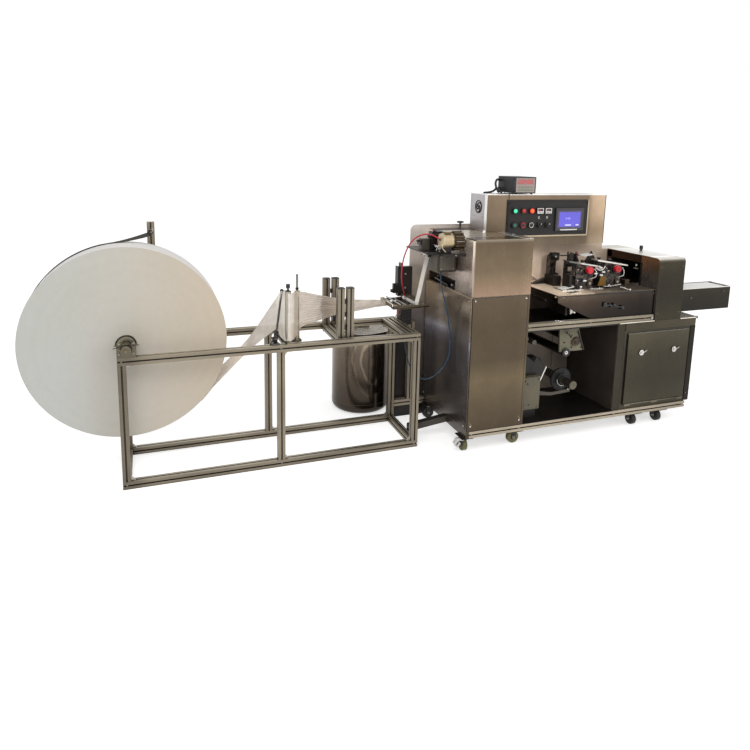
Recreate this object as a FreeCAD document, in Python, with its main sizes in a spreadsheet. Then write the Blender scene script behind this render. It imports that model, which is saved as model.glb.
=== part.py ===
"""Wet wipe packing machine: unwind frame with its nonwoven roll, liquid drum, web path and wrapper."""
import os
import re
import math
import FreeCAD, Part
import Sketcher

V = FreeCAD.Vector
Turn = FreeCAD.Rotation

# Driving dimensions, in millimetres and degrees.
# x runs along the line, y away from the operator and z up from the floor.
SIZES = {
    # aluminium profile and the unwind frame
    "profile_side": 40,
    "slot_width": 8,
    "slot_depth": 11,
    "frame_length": 1640,
    "frame_width": 430,
    "frame_height": 700,
    "rail_gap": 10,
    "inner_rail_gap": 55,
    # nonwoven roll, its shaft and its bearings
    "roll_diameter": 1000,
    "roll_width": 220,
    "roll_axis_x": 45,
    "roll_axis_rise": 42,
    "core_diameter": 92,
    "core_overhang": 12,
    "shaft_diameter": 50,
    "shaft_overhang": 26,
    "running_gap": 0.3,
    "bearing_length": 90,
    "bearing_height": 64,
    "hoop_rod": 8,
    "hoop_radius": 48,
    # brake strap
    "brake_post_start": 162,
    "post_over_eye": 43,
    "strap_width": 18,
    "strap_thickness": 3,
    "strap_clearance": 1,
    "strap_inset": 157,
    "upper_eye_gap": 50,
    "lower_eye_gap": 42,
    "eye_diameter": 12,
    # web and turn bars
    "web_thickness": 2,
    "web_margin": 10,
    "bar_diameter": 12,
    "turn_roller_diameter": 34,
    "bar_line": 66,
    "slant_foot_gap": 60,
    "slant_foot_y": 24,
    "slant_reach_x": 96,
    "slant_reach_y": 296,
    "slant_rise": 222,
    "turn_roller_rise": 280,
    "turn_bar_rise": 298,
    "vertical_bar_rise": 372,
    "knob_diameter": 22,
    "foot_length": 46,
    "foot_width": 32,
    "foot_thickness": 8,
    "collar_diameter": 26,
    "collar_height": 30,
    "wrap_lead": 4,
    "wrap_depth": 6.8,
    "web_rise_at_bar": 196,
    "web_width_at_bar": 190,
    "web_rise_at_stand": 144,
    "web_width_at_stand": 112,
    "web_width_at_fold": 40,
    # guide stand
    "stand_share": 0.7,
    "stand_pitch": 56,
    "stand_inset": 46,
    "stand_height": 280,
    "cap_thickness": 5,
    # liquid drum
    "drum_from_end": 120,
    "drum_y": 722,
    "drum_diameter": 400,
    "drum_height": 560,
    "drum_wall": 3,
    "drum_corner": 45,
    "lid_overhang": 6,
    "lid_skirt": 30,
    "grip_length": 110,
    "grip_width": 18,
    "grip_height": 24,
    # wrapper base
    "machine_gap": 225,
    "machine_length": 1690,
    "machine_front": -180,
    "machine_back": 440,
    "base_rise": 95,
    "base_inset": 21,
    "base_end_inset": 35,
    "wheel_diameter": 75,
    "wheel_width": 26,
    "axle_diameter": 10,
    "boss_diameter": 16,
    "fork_plate": 4,
    "fork_width": 28,
    "fork_below": 10,
    "fork_above": 14,
    "caster_inset": 62,
    "caster_plate": 72,
    "caster_gap": 2,
    "swivel_side": 44,
    "first_caster": 16,
    "second_caster": 356,
    "third_caster": 1266,
    "fourth_caster": 1474,
    # left column
    "column_length": 383,
    "seam_rise": 22,
    "seam_gap": 3,
    "neck_inset": 6,
    "column_over_box": 92,
    "cover_corner": 22,
    "recess_start": 31,
    "recess_end": 393,
    "recess_height": 60,
    "recess_depth": 60,
    "skirt_thickness": 20,
    "rear_plate_reach": 121,
    "rear_plate_length": 456,
    "rear_plate_over": 23,
    "rear_plate_thickness": 6,
    "rear_plate_corner": 40,
    # control box and its panel
    "control_front": 163,
    "control_depth": 212,
    "control_inset": 267,
    "control_length": 893,
    "control_clearance": 260,
    "control_height": 322,
    "panel_inset": 415,
    "panel_length": 601,
    "panel_over_bottom": 63,
    "panel_height": 220,
    "panel_thickness": 4,
    "screen_inset": 763,
    "screen_length": 215,
    "screen_over_panel": 28,
    "screen_height": 146,
    "screen_thickness": 8,
    "button_inset": 45,
    "button_pitch": 61,
    "button_diameter": 30,
    "button_length": 14,
    "upper_row_rise": 158,
    "lower_row_rise": 68,
    "display_width": 44,
    "display_height": 32,
    # counter box on the control box
    "counter_inset": 464,
    "counter_front": 175,
    "counter_length": 148,
    "counter_height": 102,
    "counter_depth": 200,
    "counter_foot": 8,
    "counter_foot_side": 14,
    "counter_foot_inset": 16,
    "counter_rim": 5,
    "counter_face": 4,
    # working area
    "deck_drop": 199,
    "deck_thickness": 8,
    "floor_thickness": 3,
    "upper_rail_gap": 12,
    "wall_front": 300,
    "wall_inset": 1275,
    "table_height": 915,
    "table_front": -165,
    "table_thickness": 12,
    "table_inset": 590,
    "apron_slant": 250,
    "apron_rise": 115,
    "apron_thickness": 5,
    # discharge
    "hood_inset": 1327,
    "hood_length": 213,
    "hood_rise": 200,
    "hood_corner": 26,
    "hood_wall": 6,
    "tunnel_front": -20,
    "tunnel_back": 250,
    "tunnel_height": 149,
    "exit_height": 70,
    "conveyor_front": -95,
    "conveyor_width": 170,
    "conveyor_reach": 515,
    "conveyor_height": 154,
    "conveyor_drop": 27,
    "side_plate": 5,
    "belt_thickness": 4,
    "belt_inset": 3,
    "belt_margin": 2,
    "belt_roller": 50,
    "belt_roller_gap": 10,
    # right cabinet and its door
    "cabinet_inset": 1052,
    "door_inset": 83,
    "door_length": 495,
    "door_rise": 175,
    "door_gap": 76,
    "door_thickness": 12,
    "left_latch_share": 0.22,
    "right_latch_share": 0.76,
    "latch_rise_share": 0.72,
    "latch_diameter": 30,
    "latch_cup": 4,
    "latch_stub": 5,
    "latch_stub_diameter": 12,
    # film bay
    "spindle_inset": 741,
    "spindle_share": 0.475,
    "spindle_diameter": 54,
    "spindle_front": -170,
    "flange_start": -50,
    "flange_diameter": 150,
    "flange_thickness": 10,
    "flange_hub": 84,
    "flange_hub_length": 14,
    "bearing_plate": 12,
    "bearing_housing": 110,
    "bearing_housing_length": 60,
    "bay_box_inset": 397,
    "bay_box_length": 138,
    "bay_box_front": -120,
    "bay_box_depth": 220,
    "bay_box_rise": 57,
    "bay_box_height": 209,
    "bay_box_foot": 14,
    "bay_arm_reach": 290,
    "bay_arm_below": 108,
    "bay_arm_height": 30,
    "bay_arm_drop": 20,
    "bay_arm_front": -38,
    "bay_arm_thickness": 8,
    "bay_plate_thickness": 6,
    "bracket_inset": 666,
    "bracket_length": 195,
    "bracket_narrowing": 60,
    "bracket_step": 10,
    "bracket_drop": 170,
    "bracket_front": -100,
    "guide_roller": 52,
    "guide_nose": 10,
    "upper_guide_inset": 128,
    "upper_guide_drop": 114,
    "lower_guide_inset": 52,
    "lower_guide_drop": 181,
    # sealing heads
    "head_inset": 800,
    "head_pitch": 215,
    "head_length": 130,
    "head_height": 168,
    "head_fall": 22,
    "head_front": -45,
    "head_width": 130,
    "head_plate_reach": 55,
    "head_plate_thickness": 8,
    "cheek": 12,
    "window_inset": 26,
    "window_rise": 96,
    "window_height": 30,
    "tie_diameter": 12,
    "tie_rise": 78,
    "tie_inset": 12,
    "seal_roller": 52,
    "seal_gap": 4,
    "seal_knob": 44,
    "seal_knob_length": 24,
    "seal_knob_inset": 78,
    "seal_knob_rise": 128,
    "seal_stem": 14,
    "seal_stem_length": 18,
    "seal_pin": 22,
    "seal_pin_length": 60,
    "heater_inset": 781,
    "heater_front": 200,
    "heater_width": 40,
    "heater_length": 70,
    "heater_height": 198,
    "heater_waist": 46,
    "heater_rod": 8,
    "heater_rod_length": 240,
    # fold unit, measured leftwards from the wrapper
    "fold_entry_reach": 365,
    "fold_arm_reach": 137,
    "fold_centre_y": 200,
    "fold_gap": 145,
    "arm_width": 12,
    "arm_height": 16,
    "arm_drop": 9,
    "fold_bar_inset": 60,
    "fold_bar_width": 30,
    "fold_roller_reach": 213,
    "fold_roller": 22,
    "fold_roller_start": 100,
    "fold_roller_length": 200,
    "upper_roller_reach": 153,
    "upper_roller_drop": 8,
    "upper_roller_length": 90,
    "upper_roller_lead": 20,
    "strip_width": 25,
    "strip_inset": 6,
    "shelf_drop": 99,
    "shelf_length": 211,
    "shelf_front": -10,
    "shelf_width": 300,
    "shelf_thickness": 8,
    "shelf_nose": 130,
    "shelf_nose_reach": 75,
    "hanger_width": 18,
    "hanger_thickness": 6,
    "fold_block_reach": 191,
    "fold_block_length": 52,
    "fold_block_front": 110,
    "fold_block_width": 40,
    "fold_block_height": 66,
    "dark_block_reach": 139,
    "dark_block_length": 72,
    "dark_block_front": 75,
    "dark_block_width": 50,
    "dark_block_height": 112,
    "valve_reach": 223,
    "valve_length": 70,
    "valve_front": 312,
    "valve_width": 78,
    "valve_bottom": 668,
    "side_plate_reach": 213,
    "side_plate_length": 96,
    "side_plate_width": 40,
    "side_plate_height": 190,
    "motor_reach": 135,
    "motor_length": 70,
    "motor_diameter": 84,
    "motor_line": -30,
    "motor_lift": 29,
    "saddle_length": 44,
    "saddle_width": 48,
    "fold_wheel_diameter": 96,
    "fold_wheel_rib": 7,
    "fold_wheel_length": 58,
    "fold_wheel_gap": 7,
    "gearbox_reach": 135,
    "gearbox_length": 120,
    "gearbox_front": 0,
    "gearbox_width": 130,
    "gearbox_height": 110,
    # rear leg, pump box, tie and hoses
    "leg_reach": 129,
    "leg_top": 660,
    "pump_box_reach": 200,
    "pump_box_length": 195,
    "pump_box_width": 108,
    "pump_box_height": 560,
    "tie_near_y": 150,
    "tie_near_rise": 58,
    "tie_far_y": 96,
    "tie_far_rise": 115,
    "hose_diameter": 8,
}

# Places that follow from the driving dimensions.
DERIVED = {
    "strap_reach": "roll_diameter / 2 + strap_clearance + strap_thickness",
    "latch_reach": "latch_cup + latch_stub",
    "middle_x": "(roll_axis_x - strap_reach + conveyor_end) / 2",
    "middle_y": "(machine_front - latch_reach + drum_y + drum_diameter / 2 + lid_overhang) / 2",
    "roll_start": "(frame_width - roll_width) / 2",
    "roll_axis_z": "frame_height + roll_axis_rise",
    "back_rail": "frame_width - profile_side",
    "rail_top": "frame_height - profile_side",
    "mid_post_start": "(frame_length - profile_side) / 2",
    "inner_rail_start": "frame_length - profile_side - inner_rail_gap",
    "turn_rail_start": "mid_post_start + profile_side + rail_gap",
    "vertical_rail_start": "turn_rail_start + profile_side + rail_gap",
    "slant_foot_x": "turn_rail_start - slant_foot_gap",
    "stand_start": "frame_length * stand_share",
    "stand_front": "stand_inset",
    "stand_back": "frame_width - profile_side - stand_inset",
    "strap_start": "roll_start + strap_inset",
    "upper_eye_rise": "roll_axis_z + roll_diameter / 2 + upper_eye_gap",
    "lower_eye_rise": "roll_axis_z - roll_diameter / 2 - lower_eye_gap",
    "brake_post_top": "upper_eye_rise + post_over_eye",
    "drum_x": "frame_length - drum_from_end",
    "machine_start": "frame_length + machine_gap",
    "machine_end": "machine_start + machine_length",
    "base_rail_start": "machine_start + base_inset",
    "base_rail_end": "machine_end - base_end_inset",
    "base_top": "base_rise + profile_side",
    "deck_height": "table_height - deck_drop",
    "column_seam": "table_height + seam_rise",
    "control_bottom": "table_height + control_clearance",
    "control_top": "control_bottom + control_height",
    "column_top": "control_bottom + column_over_box",
    "rear_plate_top": "column_top + rear_plate_over",
    "panel_rise": "control_bottom + panel_over_bottom",
    "screen_rise": "panel_rise + screen_over_panel",
    "apron_low": "deck_height + profile_side",
    "apron_side": "apron_low + apron_rise",
    "hood_top": "table_height + hood_rise",
    "door_height": "deck_height - door_rise - door_gap",
    "spindle_rise": "deck_height * spindle_share",
    "bay_arm_low": "spindle_rise - bay_arm_below",
    "shelf_rise": "column_top - shelf_drop",
    "column_end": "machine_start + column_length",
    "rear_plate_start": "machine_start - rear_plate_reach",
    "control_start": "machine_start + control_inset",
    "control_end": "control_start + control_length",
    "panel_start": "machine_start + panel_inset",
    "screen_start": "machine_start + screen_inset",
    "counter_start": "machine_start + counter_inset",
    "wall_end": "machine_start + wall_inset",
    "hood_start": "machine_start + hood_inset",
    "hood_end": "hood_start + hood_length",
    "upper_rail_end": "hood_start - upper_rail_gap",
    "table_start": "machine_start + table_inset",
    "conveyor_end": "hood_end + conveyor_reach",
    "conveyor_top": "table_height - conveyor_drop",
    "cabinet_start": "machine_start + cabinet_inset",
    "door_start": "cabinet_start + door_inset",
    "spindle_x": "machine_start + spindle_inset",
    "bay_box_start": "machine_start + bay_box_inset",
    "bay_box_bottom": "base_top + floor_thickness + bay_box_rise",
    "bracket_start": "machine_start + bracket_inset",
    "bracket_top": "deck_height - deck_thickness",
    "head_start": "machine_start + head_inset",
    "fold_rise": "frame_height + fold_gap",
    "arm_bottom": "fold_rise - arm_drop",
    "entry_roller_z": "arm_bottom + (arm_height + web_margin) / 2",
    "fold_entry_x": "machine_start - fold_entry_reach",
    "fold_arm_end": "machine_start - fold_arm_reach",
    "fold_roller_x": "machine_start - fold_roller_reach",
    "upper_roller_x": "machine_start - upper_roller_reach",
    "upper_roller_rise": "shelf_rise - upper_roller_drop",
    "shelf_start": "machine_start - shelf_length",
    "shelf_top": "shelf_rise + shelf_thickness",
    "motor_rise": "shelf_top + motor_lift + motor_diameter / 2",
    "motor_x": "machine_start - motor_reach",
}


def expand(formula):
    """A formula with the derived names written out and each size given its sheet."""
    def swap(match):
        word = match.group(0)
        if word in DERIVED:
            return "(" + expand(DERIVED[word]) + ")"
        if word in SIZES:
            return "Sizes." + word
        return word
    return re.sub(r"[a-z][a-z_]*", swap, str(formula))


def value(formula):
    """The number that a formula gives for the sheet's present sizes."""
    return float(sheet.evalExpression(expand(formula)))


def bind(obj, prop, formula):
    obj.setExpression(prop, expand(formula))


def place(obj, x, y, z, turn=None):
    """Stand an object at a point of the layout, which is measured from the unwind frame's corner."""
    obj.Placement = FreeCAD.Placement(V(0, 0, 0), turn or Turn())
    bind(obj, "Placement.Base.x", f"{x} - middle_x")
    bind(obj, "Placement.Base.y", f"{y} - middle_y")
    bind(obj, "Placement.Base.z", f"{z}")
    return obj


def point(x, y, z):
    """A point of the layout in the model's own frame."""
    return V(value(f"{x} - middle_x"), value(f"{y} - middle_y"), value(f"{z}"))


ALONG = {"x": Turn(V(0, 1, 0), 90), "y": Turn(V(1, 0, 0), -90), "z": Turn()}
FACING = {"x": Turn(V(1, 1, 1), 120), "y": Turn(V(1, 0, 0), 90), "z": Turn()}


def box(name, x, y, z, length, width, height):
    obj = doc.addObject("Part::Box", name)
    bind(obj, "Length", length)
    bind(obj, "Width", width)
    bind(obj, "Height", height)
    return place(obj, x, y, z)


def cylinder(name, x, y, z, diameter, length, axis="z"):
    obj = doc.addObject("Part::Cylinder", name)
    bind(obj, "Radius", f"({diameter}) / 2")
    bind(obj, "Height", length)
    return place(obj, x, y, z, ALONG[axis])


def group(name, pieces):
    """Several solids that share a node, or one fused solid where they touch."""
    obj = doc.addObject("Part::Compound", name)
    obj.Links = pieces
    return obj


def fuse(name, pieces):
    obj = doc.addObject("Part::MultiFuse", name)
    obj.Shapes = pieces
    obj.Refine = True
    return obj


def cut(name, base, tool):
    obj = doc.addObject("Part::Cut", name)
    obj.Base = base
    obj.Tool = tool
    return obj


def rounded(name, base, radius, chosen):
    """The base with the edges that chosen(edge) picks rounded to one radius."""
    doc.recompute()
    obj = doc.addObject("Part::Fillet", name)
    obj.Base = base
    size = value(radius)
    picks = []
    for number, edge in enumerate(base.Shape.Edges, start=1):
        if chosen(edge):
            picks.append((number, size, size))
    obj.Edges = picks
    return obj


def runs(edge, axis):
    """Whether an edge is straight and runs along one axis."""
    if edge.Curve.TypeId != "Part::GeomLine":
        return False
    direction = edge.Curve.Direction
    return abs(getattr(direction, axis)) > 0.999


def at(edge, axis, where):
    return abs(getattr(edge.CenterOfMass, axis) - where) < 0.5


def outline(sketch, corners):
    """A closed outline with every corner held at its own distances from the sketch's origin."""
    spots = [(value(u), value(w)) for u, w in corners]
    count = len(corners)
    for i in range(count):
        start = V(*spots[i], 0)
        end = V(*spots[(i + 1) % count], 0)
        sketch.addGeometry(Part.LineSegment(start, end))
    for i in range(count):
        sketch.addConstraint(Sketcher.Constraint("Coincident", i, 2, (i + 1) % count, 1))
    for i, (u, w) in enumerate(corners):
        for kind, formula, spot in (("DistanceX", u, spots[i][0]), ("DistanceY", w, spots[i][1])):
            number = sketch.addConstraint(Sketcher.Constraint(kind, -1, 1, i, 1, spot))
            bind(sketch, f"Constraints[{number}]", formula)


def plate(name, corners, thickness, x, y, z, facing):
    """A sheet or block padded from its outline. Its outline faces along x, y or z."""
    body = doc.addObject("PartDesign::Body", name)
    sketch = body.newObject("Sketcher::SketchObject", name + "_outline")
    planes = [item for item in body.Origin.OriginFeatures if item.Role == "XY_Plane"]
    sketch.AttachmentSupport = (planes[0], "")
    sketch.MapMode = "FlatFace"
    outline(sketch, corners)
    pad = body.newObject("PartDesign::Pad", name + "_pad")
    pad.Profile = sketch
    bind(pad, "Length", thickness)
    body.Tip = pad
    return place(body, x, y, z, FACING[facing])


def profile_section():
    """Square aluminium profile with one slot in each side, drawn from its corner."""
    sketch = doc.addObject("Sketcher::SketchObject", "profile_section")
    near = "(profile_side - slot_width) / 2"
    far = "(profile_side + slot_width) / 2"
    deep = "slot_depth"
    back = "profile_side - slot_depth"
    side = "profile_side"
    outline(sketch, [
        ("0", "0"), (near, "0"), (near, deep), (far, deep), (far, "0"), (side, "0"),
        (side, near), (back, near), (back, far), (side, far), (side, side),
        (far, side), (far, back), (near, back), (near, side), ("0", side),
        ("0", far), (deep, far), (deep, near), ("0", near),
    ])
    return sketch


def rail(name, x, y, z, length, axis):
    """A length of the aluminium profile with its lowest corner at the given point."""
    obj = doc.addObject("Part::Extrusion", name)
    obj.Base = section
    obj.DirMode = "Normal"
    obj.Solid = True
    bind(obj, "LengthFwd", length)
    if axis == "x":
        return place(obj, x, y, f"{z} + profile_side", ALONG["x"])
    if axis == "y":
        return place(obj, x, y, f"{z} + profile_side", ALONG["y"])
    return place(obj, x, y, z)


def solid(name, shape):
    """A sub-part whose curved shape is worked out from the sheet."""
    obj = doc.addObject("Part::Feature", name)
    obj.Shape = shape
    return obj


def rod_between(start, end, diameter):
    """A round rod from one point to another."""
    return Part.makeCylinder(diameter / 2, (end - start).Length, start, end - start)


def route(points):
    """Straight runs joined by tangent arcs, each as large as its two runs allow."""
    edges = []
    radii = []
    last = points[0]
    for before, corner, after in zip(points, points[1:], points[2:]):
        coming = (corner - before).normalize()
        going = (after - corner).normalize()
        turn = coming.getAngle(going)
        reach = 0.45 * min((corner - before).Length, (after - corner).Length)
        radii.append(reach / math.tan(turn / 2))
        start = corner - coming * reach
        end = corner + going * reach
        inward = (going - coming).normalize()
        centre = corner + inward * (reach / math.sin(turn / 2))
        middle = centre - inward * radii[-1]
        edges.append(Part.LineSegment(last, start).toShape())
        edges.append(Part.Arc(start, middle, end).toShape())
        last = end
    edges.append(Part.LineSegment(last, points[-1]).toShape())
    return Part.Wire(edges), radii


def hose(name, points, diameter):
    """A hose along its route. The routes are places in the layout, chosen by eye."""
    spots = [point(f"machine_start + {x}", y, z) for x, y, z in points]
    path, radii = route(spots)
    ring = Part.Wire(Part.makeCircle(diameter / 2, spots[0], spots[1] - spots[0]))
    shape = path.makePipeShell([ring], True, False)
    expected = math.pi * diameter ** 2 / 4 * path.Length
    print(f"{name}: length {path.Length:.0f}, least radius {min(radii):.0f}, "
          f"volume {shape.Volume / expected:.3f} of section times length")
    return solid(name, shape)


def strip_section(centre, across, normal, width, thickness):
    """A thin rectangle, the cut end of a web: its width lies along across."""
    across = V(across).normalize() * (width / 2)
    normal = V(normal).normalize() * (thickness / 2)
    corners = [centre - across - normal, centre + across - normal,
               centre + across + normal, centre - across + normal]
    return Part.makePolygon(corners + [corners[0]])


def unwind_frame():
    """The long aluminium frame: rails, posts and cross rails."""
    long_rails = []
    for side, y in (("front", "0"), ("back", "back_rail")):
        for level, z in (("bottom", "0"), ("top", "rail_top")):
            long_rails.append(rail(f"{side}_{level}_rail", "0", y, z, "frame_length", "x"))
    posts = []
    inner_height = "frame_height - 2 * profile_side"
    for side, y in (("front", "0"), ("back", "back_rail")):
        for spot, x in (("left", "0"), ("mid", "mid_post_start"), ("right", "frame_length - profile_side")):
            posts.append(rail(f"{side}_{spot}_post", x, y, "profile_side", inner_height, "z"))
    inner_width = "frame_width - 2 * profile_side"
    cross = [
        rail("left_bottom_cross", "0", "profile_side", "0", inner_width, "y"),
        rail("right_bottom_cross", "frame_length - profile_side", "profile_side", "0", inner_width, "y"),
    ]
    tops = {
        "turn_roller_cross": "turn_rail_start",
        "vertical_bar_cross": "vertical_rail_start",
        "stand_left_cross": "stand_start",
        "stand_right_cross": "stand_start + stand_pitch",
        "inner_cross": "inner_rail_start",
        "right_top_cross": "frame_length - profile_side",
    }
    for name, x in tops.items():
        cross.append(rail(name, x, "profile_side", "rail_top", inner_width, "y"))
    return [group("unwind_long_rails", long_rails), group("unwind_posts", posts),
            group("unwind_cross_rails", cross)]


def roll_bearings():
    """Open saddle blocks on the top rails, each with a swing-over hoop that keeps the shaft down."""
    pieces = []
    for side, y in (("front", "0"), ("back", "back_rail")):
        block = box(f"{side}_bearing_block", "roll_axis_x - bearing_length / 2", y, "frame_height",
                    "bearing_length", "profile_side", "bearing_height")
        seat = cylinder(f"{side}_bearing_seat", "roll_axis_x", y, "roll_axis_z",
                        "shaft_diameter + 2 * running_gap", "profile_side", "y")
        mouth = box(f"{side}_bearing_mouth", "roll_axis_x - shaft_diameter / 2 - running_gap", y, "roll_axis_z",
                    "shaft_diameter + 2 * running_gap", "profile_side", "bearing_height")
        hollow = fuse(f"{side}_bearing_hollow", [seat, mouth])
        saddle = cut(f"{side}_saddle", block, hollow)
        middle = point("roll_axis_x", f"{y} + profile_side / 2", "frame_height + bearing_height - hoop_rod / 2")
        ring = Part.makeTorus(value("hoop_radius"), value("hoop_rod") / 2, middle, V(0, 1, 0))
        reach = 2 * value("hoop_radius")
        upper = Part.makeBox(2 * reach, reach, reach, middle - V(reach, reach / 2, 0))
        hoop = solid(f"{side}_hoop", ring.common(upper))
        pins = cylinder(f"{side}_hoop_pins", "roll_axis_x - hoop_radius - hoop_rod", f"{y} + profile_side / 2",
                        "frame_height + bearing_height - hoop_rod / 2", "hoop_rod", "2 * hoop_radius + 2 * hoop_rod", "x")
        pin_gap = box(f"{side}_pin_gap", "roll_axis_x - shaft_diameter / 2 - running_gap", y, "frame_height",
                      "shaft_diameter + 2 * running_gap", "profile_side", "2 * bearing_height")
        ends = cut(f"{side}_pin_ends", pins, pin_gap)
        pieces.append(fuse(f"{side}_bearing", [saddle, hoop, ends]))
    return [group("roll_bearings", pieces)]


def roll():
    """The nonwoven parent roll on its core, and the expanding shaft that turns with it."""
    wound = cylinder("wound_web", "roll_axis_x", "roll_start", "roll_axis_z", "roll_diameter", "roll_width", "y")
    bore = cylinder("roll_bore", "roll_axis_x", "roll_start", "roll_axis_z", "core_diameter", "roll_width", "y")
    core = cylinder("core_tube", "roll_axis_x", "roll_start - core_overhang", "roll_axis_z",
                    "core_diameter", "roll_width + 2 * core_overhang", "y")
    shaft = cylinder("roll_shaft", "roll_axis_x", "-shaft_overhang", "roll_axis_z",
                     "shaft_diameter", "frame_width + 2 * shaft_overhang", "y")
    passage = cylinder("core_passage", "roll_axis_x", "-shaft_overhang", "roll_axis_z",
                       "shaft_diameter", "frame_width + 2 * shaft_overhang", "y")
    return [cut("nonwoven_roll", wound, bore), cut("roll_core", core, passage), shaft]


def brake():
    """A strap that drags on the roll, hung from a tall post and tied down at the frame's back corner."""
    post = rail("brake_post_rail", "brake_post_start", "back_rail", "frame_height",
                "brake_post_top - frame_height", "z")
    upper_eye = cylinder("upper_eye", "brake_post_start + profile_side / 2", "strap_start", "upper_eye_rise",
                         "eye_diameter", "back_rail - strap_start", "y")
    lower_eye = cylinder("lower_eye", "profile_side / 2", "strap_start", "lower_eye_rise",
                         "eye_diameter", "back_rail - strap_start", "y")
    anchors = group("brake_post", [fuse("brake_post_fused", [post, upper_eye]), lower_eye])
    radius = value("roll_diameter / 2 + strap_clearance")
    thickness = value("strap_thickness")
    centre = point("roll_axis_x", "strap_start", "roll_axis_z")
    upper = point("brake_post_start + profile_side / 2", "strap_start", "upper_eye_rise - eye_diameter / 2")
    lower = point("profile_side / 2", "strap_start", "lower_eye_rise + eye_diameter / 2")

    def tangent(spot, side):
        """The angle about the roll's axis at which a line from the spot touches the strap's circle."""
        away = spot - centre
        bearing = math.atan2(away.z, away.x)
        return bearing + side * math.acos(radius / away.Length)

    start = tangent(upper, 1)
    end = tangent(lower, -1) + 2 * math.pi

    def spot(angle, distance):
        return centre + V(distance * math.cos(angle), 0, distance * math.sin(angle))

    outer = radius + thickness
    middle = (start + end) / 2
    lift = V(thickness * math.cos(start), 0, thickness * math.sin(start))
    drop = V(thickness * math.cos(end), 0, thickness * math.sin(end))
    loop = Part.Wire([
        Part.LineSegment(upper, spot(start, radius)).toShape(),
        Part.Arc(spot(start, radius), spot(middle, radius), spot(end, radius)).toShape(),
        Part.LineSegment(spot(end, radius), lower).toShape(),
        Part.LineSegment(lower, lower + drop).toShape(),
        Part.LineSegment(lower + drop, spot(end, outer)).toShape(),
        Part.Arc(spot(end, outer), spot(middle, outer), spot(start, outer)).toShape(),
        Part.LineSegment(spot(start, outer), upper + lift).toShape(),
        Part.LineSegment(upper + lift, upper).toShape(),
    ])
    strap = Part.Face(loop).extrude(V(0, value("strap_width"), 0))
    return [anchors, solid("brake_strap", strap)]


def bar_foot(name, x, y):
    """A flange on the rail with the collar that clamps a bar."""
    return [
        box(f"{name}_flange", f"{x} - foot_length / 2", f"{y} - foot_width / 2", "frame_height",
            "foot_length", "foot_width", "foot_thickness"),
        cylinder(f"{name}_collar", x, y, "frame_height", "collar_diameter", "collar_height"),
    ]


def turn_bars():
    """The slanted bar, the turn roller and the vertical bar that twist the flat web upright."""
    slant_foot = point("slant_foot_x", "slant_foot_y", "frame_height")
    slant = V(value("slant_reach_x"), value("slant_reach_y"), value("slant_rise"))
    slant_tip = slant_foot + slant
    lift = V(0, 0, value("foot_thickness + collar_diameter / 3"))
    collar = V(slant).normalize() * value("collar_height")
    rod = rod_between(slant_foot + lift, slant_tip, value("bar_diameter"))
    rod = rod.fuse(rod_between(slant_foot + lift, slant_foot + lift + collar, value("collar_diameter")))
    flange = box("slant_flange", "slant_foot_x - foot_length / 2", "slant_foot_y - foot_width / 2",
                 "frame_height", "foot_length", "foot_width", "foot_thickness")
    slanted = fuse("slanted_bar", [solid("slanted_rod", rod), flange])
    roller_x = "turn_rail_start + profile_side / 2"
    upright_x = "vertical_rail_start + profile_side / 2"
    roller = fuse("turn_roller_bar", [
        cylinder("turn_roller", roller_x, "bar_line", "frame_height", "turn_roller_diameter",
                 "turn_roller_rise"),
        cylinder("turn_roller_pin", roller_x, "bar_line", "frame_height", "bar_diameter", "turn_bar_rise"),
    ])
    rod = cylinder("upright_rod", upright_x, "bar_line", "frame_height", "bar_diameter", "vertical_bar_rise")
    upright = fuse("upright_bar", [rod] + bar_foot("upright", upright_x, "bar_line"))
    bars = group("turn_bars", [slanted, roller, upright])
    knob = value("knob_diameter")
    lift = V(slant).normalize() * (knob / 2)
    slant_knob = solid("slant_knob", Part.makeSphere(knob / 2, slant_tip + lift))
    roller_knob = cylinder("roller_knob", roller_x, "bar_line", "frame_height + turn_bar_rise",
                           "knob_diameter", "knob_diameter")
    return [bars, group("turn_bar_knobs", [slant_knob, roller_knob])]


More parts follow.
